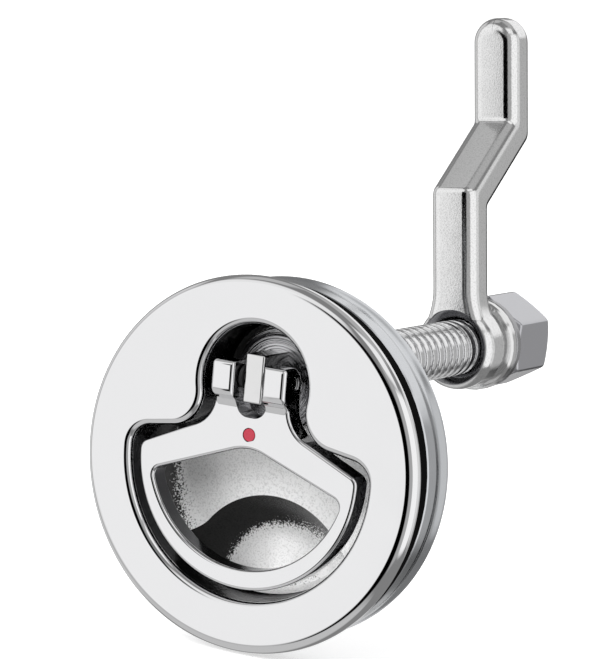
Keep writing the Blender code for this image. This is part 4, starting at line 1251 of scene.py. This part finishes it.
def nut_solid():
    """Loft of outlines along the nut, close together at its ends."""
    sections = []
    half = (NUT_BACK - NUT_FRONT) / 2
    distances = [0.08 * step for step in range(24)] + [3.0]
    depths = [NUT_FRONT + d for d in distances] + [NUT_BACK - d for d in reversed(distances)]
    for y in depths:
        near = min(y - NUT_FRONT, NUT_BACK - y, half)
        outline = []
        for step in range(180):
            angle = math.radians(2 * step)
            radius = nut_radius(angle, near)
            outline.append((radius * math.cos(angle), SPINDLE_HEIGHT + radius * math.sin(angle)))
        sections.append(at_depth(outline, y))
    bore = cylinder(SHANK_RADIUS + BORE_PLAY, NUT_FRONT - 1, NUT_BACK + 1, 96, SPINDLE_HEIGHT)
    return carved(loft(sections), ("DIFFERENCE", bore))


nut = add_piece("hex_nut", nut_solid(), nut_steel, "latch", "turned_steel", 40)
print("hexagon nut faces:", len(nut.polygons))

# %% [markdown]
# The other pieces are plain turned, stamped or moulded forms that the CAD draws finely enough. Each gets
# a merged, smooth-shaded copy of its node, some with a small rounded edge. A table names each one's
# finish, body and slot, and one loop makes them all.

# %% Finish each other node's copy
FINISHES = {
    # node: finish, body, slot, angle in degrees that stays sharp, rounded edge in mm
    "flange_gasket": (gasket_rubber, "latch", "rubber", 32, 0.2),
    "index_dot": (red_enamel, "grip", "red_enamel", 40, 0.08),
    "hinge_pin": (turned_steel, "latch", "turned_steel", 40, 0.15),
    "pin_washer_left": (black_nylon, "latch", "nylon", 40, 0.08),
    "pin_washer_right": (black_nylon, "latch", "nylon", 40, 0.08),
    "thrust_washer": (black_nylon, "latch", "nylon", 32, 0.0),
    "front_bush": (bearing_bronze, "latch", "bronze", 32, 0.0),
    "shaft_seal": (gasket_rubber, "latch", "rubber", 60, 0.0),
    "rear_bush": (bearing_bronze, "latch", "bronze", 32, 0.0),
    "stop_washer": (turned_steel, "latch", "turned_steel", 32, 0.1),
    "wave_washer": (spring_steel, "latch", "spring_steel", 40, 0.0),
    "circlip": (spring_steel, "latch", "spring_steel", 32, 0.1),
    "flat_washer": (turned_steel, "latch", "turned_steel", 32, 0.0),
    "spring_washer": (spring_steel, "latch", "spring_steel", 32, 0.0),
}
for node_name, dressing in FINISHES.items():
    add_piece(node_name, merged(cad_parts[node_name].data.copy()), *dressing)
print("finished pieces:", len(pieces))

# %% [markdown]
# Polished steel has hardly a colour of its own: what one sees is the room in it. Lamps would stand in it
# as hard shapes, so the studio is painted round the object by direction, as soft panels in the sky.


# %% Studio world
world = bpy.data.worlds.new("studio")
scene.world = world
world.use_nodes = True
sky = world.node_tree
sky.nodes.clear()
ray_direction = add_node(sky, "ShaderNodeTexCoord").outputs["Generated"]


def compass(azimuth, elevation):
    """Unit vector towards an azimuth from the front, to the right, and an elevation, in degrees."""
    a, e = math.radians(azimuth), math.radians(elevation)
    return Vector((math.sin(a) * math.cos(e), -math.cos(a) * math.cos(e), math.sin(e)))


def panel_mask(azimuth, elevation, half_width, half_height, softness):
    """1 inside a panel in the sky and 0 outside, with a soft border."""
    centre = compass(azimuth, elevation)
    side = Vector((math.cos(math.radians(azimuth)), math.sin(math.radians(azimuth)), 0))
    up = side.cross(-centre).normalized()
    along = []
    for axis in (centre, side, up):
        inputs = {0: ray_direction, 1: axis}
        product = add_node(sky, "ShaderNodeVectorMath", DOT, inputs)
        along.append(product.outputs["Value"])
    ahead = add_node(sky, "ShaderNodeMath", {"operation": "MAXIMUM"}, {0: along[0], 1: 0.001}).outputs[0]
    mask = 1.0
    for offset, half in zip(along[1:], (half_width, half_height)):
        tangent = add_node(sky, "ShaderNodeMath", {"operation": "DIVIDE"}, {0: offset, 1: ahead}).outputs[0]
        across = add_node(sky, "ShaderNodeMath", {"operation": "ABSOLUTE"}, {0: tangent}).outputs[0]
        border = {"Value": across, "From Min": half - softness, "From Max": half + softness}
        border.update({"To Min": 1.0, "To Max": 0.0})
        edge = add_node(sky, "ShaderNodeMapRange", SMOOTH, border).outputs["Result"]
        mask = add_node(sky, "ShaderNodeMath", {"operation": "MULTIPLY"}, {0: mask, 1: edge}).outputs[0]
    return mask


print("straight ahead of the face is", tuple(round(c, 2) for c in compass(0, 0)))

# %% [markdown]
# Each panel stands for a lamp's cloth or a wall: it has a centre, two half widths as tangents of angles,
# a soft border and a level. Dark cards stand where the edges want a dark line. The camera alone sees a
# plain white sky, by way of the light path.

# %% Panels and cards
BASE_LEVEL = 0.24
PANELS = (
    # azimuth, elevation, half width, half height, softness, level
    (-46, 8, 0.62, 0.62, 0.25, 0.97),
    (-38, 36, 0.60, 0.32, 0.15, 0.90),
    (-46, -58, 0.90, 0.75, 0.30, 0.58),
    (44, 0, 0.50, 0.80, 0.15, 0.42),
    (82, 0, 0.62, 0.80, 0.12, 1.02),
    (128, 0, 0.34, 0.60, 0.15, 0.75),
    (154, -2, 0.28, 0.50, 0.10, 0.46),
    (174, 30, 0.50, 0.36, 0.12, 0.95),
    (150, 68, 0.50, 0.40, 0.20, 0.46),
    (-157, -30, 0.30, 0.22, 0.08, 0.80),
    (-100, 0, 0.35, 0.80, 0.15, 0.70),
    (-104, 62, 0.34, 0.27, 0.12, 0.52),
    (62, 52, 0.42, 0.26, 0.12, 0.95),
)
DARK_CARDS = (
    # azimuth, elevation, half width, half height, softness
    (-3, -8, 0.38, 0.46, 0.07),
    (182, -14, 0.25, 0.24, 0.08),
)
level = BASE_LEVEL
for *panel, strength in PANELS:
    mask = panel_mask(*panel)
    lit = add_node(sky, "ShaderNodeMath", {"operation": "MULTIPLY"}, {0: mask, 1: strength}).outputs[0]
    level = add_node(sky, "ShaderNodeMath", {"operation": "MAXIMUM"}, {0: level, 1: lit}).outputs[0]
for card in DARK_CARDS:
    mask = panel_mask(*card)
    open_sky = add_node(sky, "ShaderNodeMath", {"operation": "SUBTRACT"}, {0: 1.0, 1: mask}).outputs[0]
    level = add_node(sky, "ShaderNodeMath", {"operation": "MULTIPLY"}, {0: level, 1: open_sky}).outputs[0]
to_camera = add_node(sky, "ShaderNodeLightPath").outputs["Is Camera Ray"]
shown = add_node(sky, "ShaderNodeMath", {"operation": "MAXIMUM"}, {0: level, 1: to_camera}).outputs[0]
light = add_node(sky, "ShaderNodeBackground", inputs={"Color": (1, 1, 1, 1), "Strength": shown}).outputs[0]
add_node(sky, "ShaderNodeOutputWorld", inputs={"Surface": light})
print("panels in the studio:", len(PANELS), "and dark cards:", len(DARK_CARDS))

# %% [markdown]
# The floor is a plain white sheet that just meets the flange. It glows a little to the camera alone, so
# that it reads as white, and still takes the soft shadow of the object. The steel doesn't see it, because
# the panels stand for the whole room.

# %% Floor
FLOOR_DROP = 0.0006
FLOOR_SIZE = 6
FLOOR_GLOW = 0.60
floor_height = cad_box[0][2] - FLOOR_DROP
bpy.ops.mesh.primitive_plane_add(size=FLOOR_SIZE, location=(0, 0, floor_height))
floor = bpy.context.object
floor.name = "floor"
paper, tree, shader = new_material("white_paper_sheet")
shader.inputs["Base Color"].default_value = linear("#F2F2F2")
shader.inputs["Roughness"].default_value = 0.9
shader.inputs["Specular IOR Level"].default_value = 0.0
shader.inputs["Emission Color"].default_value = (1, 1, 1, 1)
to_camera = add_node(tree, "ShaderNodeLightPath").outputs["Is Camera Ray"]
glow = add_node(tree, "ShaderNodeMath", {"operation": "MULTIPLY"}, {0: to_camera, 1: FLOOR_GLOW})
tree.links.new(glow.outputs[0], shader.inputs["Emission Strength"])
floor.data.materials.append(paper)
floor.visible_glossy = False
print("floor at", round(floor_height / MM, 2), "mm")

# %% [markdown]
# One large lamp, high in front, lights what isn't a mirror: enamel, nylon and the blasted cup, and it
# casts the shadow on the floor. Glossy rays don't see it, or it would stand in the steel as a hard white
# square.

# %% Key light
KEY_DIRECTION = (-12, 42)
KEY_DISTANCE = 1.2
KEY_SIDE = 1.2
KEY_WATTS = 20
lamp_data = bpy.data.lights.new("key", "AREA")
lamp_data.size = KEY_SIDE
lamp_data.energy = KEY_WATTS
lamp = bpy.data.objects.new("key", lamp_data)
scene.collection.objects.link(lamp)
lamp.location = compass(*KEY_DIRECTION) * KEY_DISTANCE
lamp.rotation_euler = lamp.location.to_track_quat("Z", "Y").to_euler()
lamp.visible_glossy = False
print("key lamp at", [round(c, 2) for c in lamp.location])
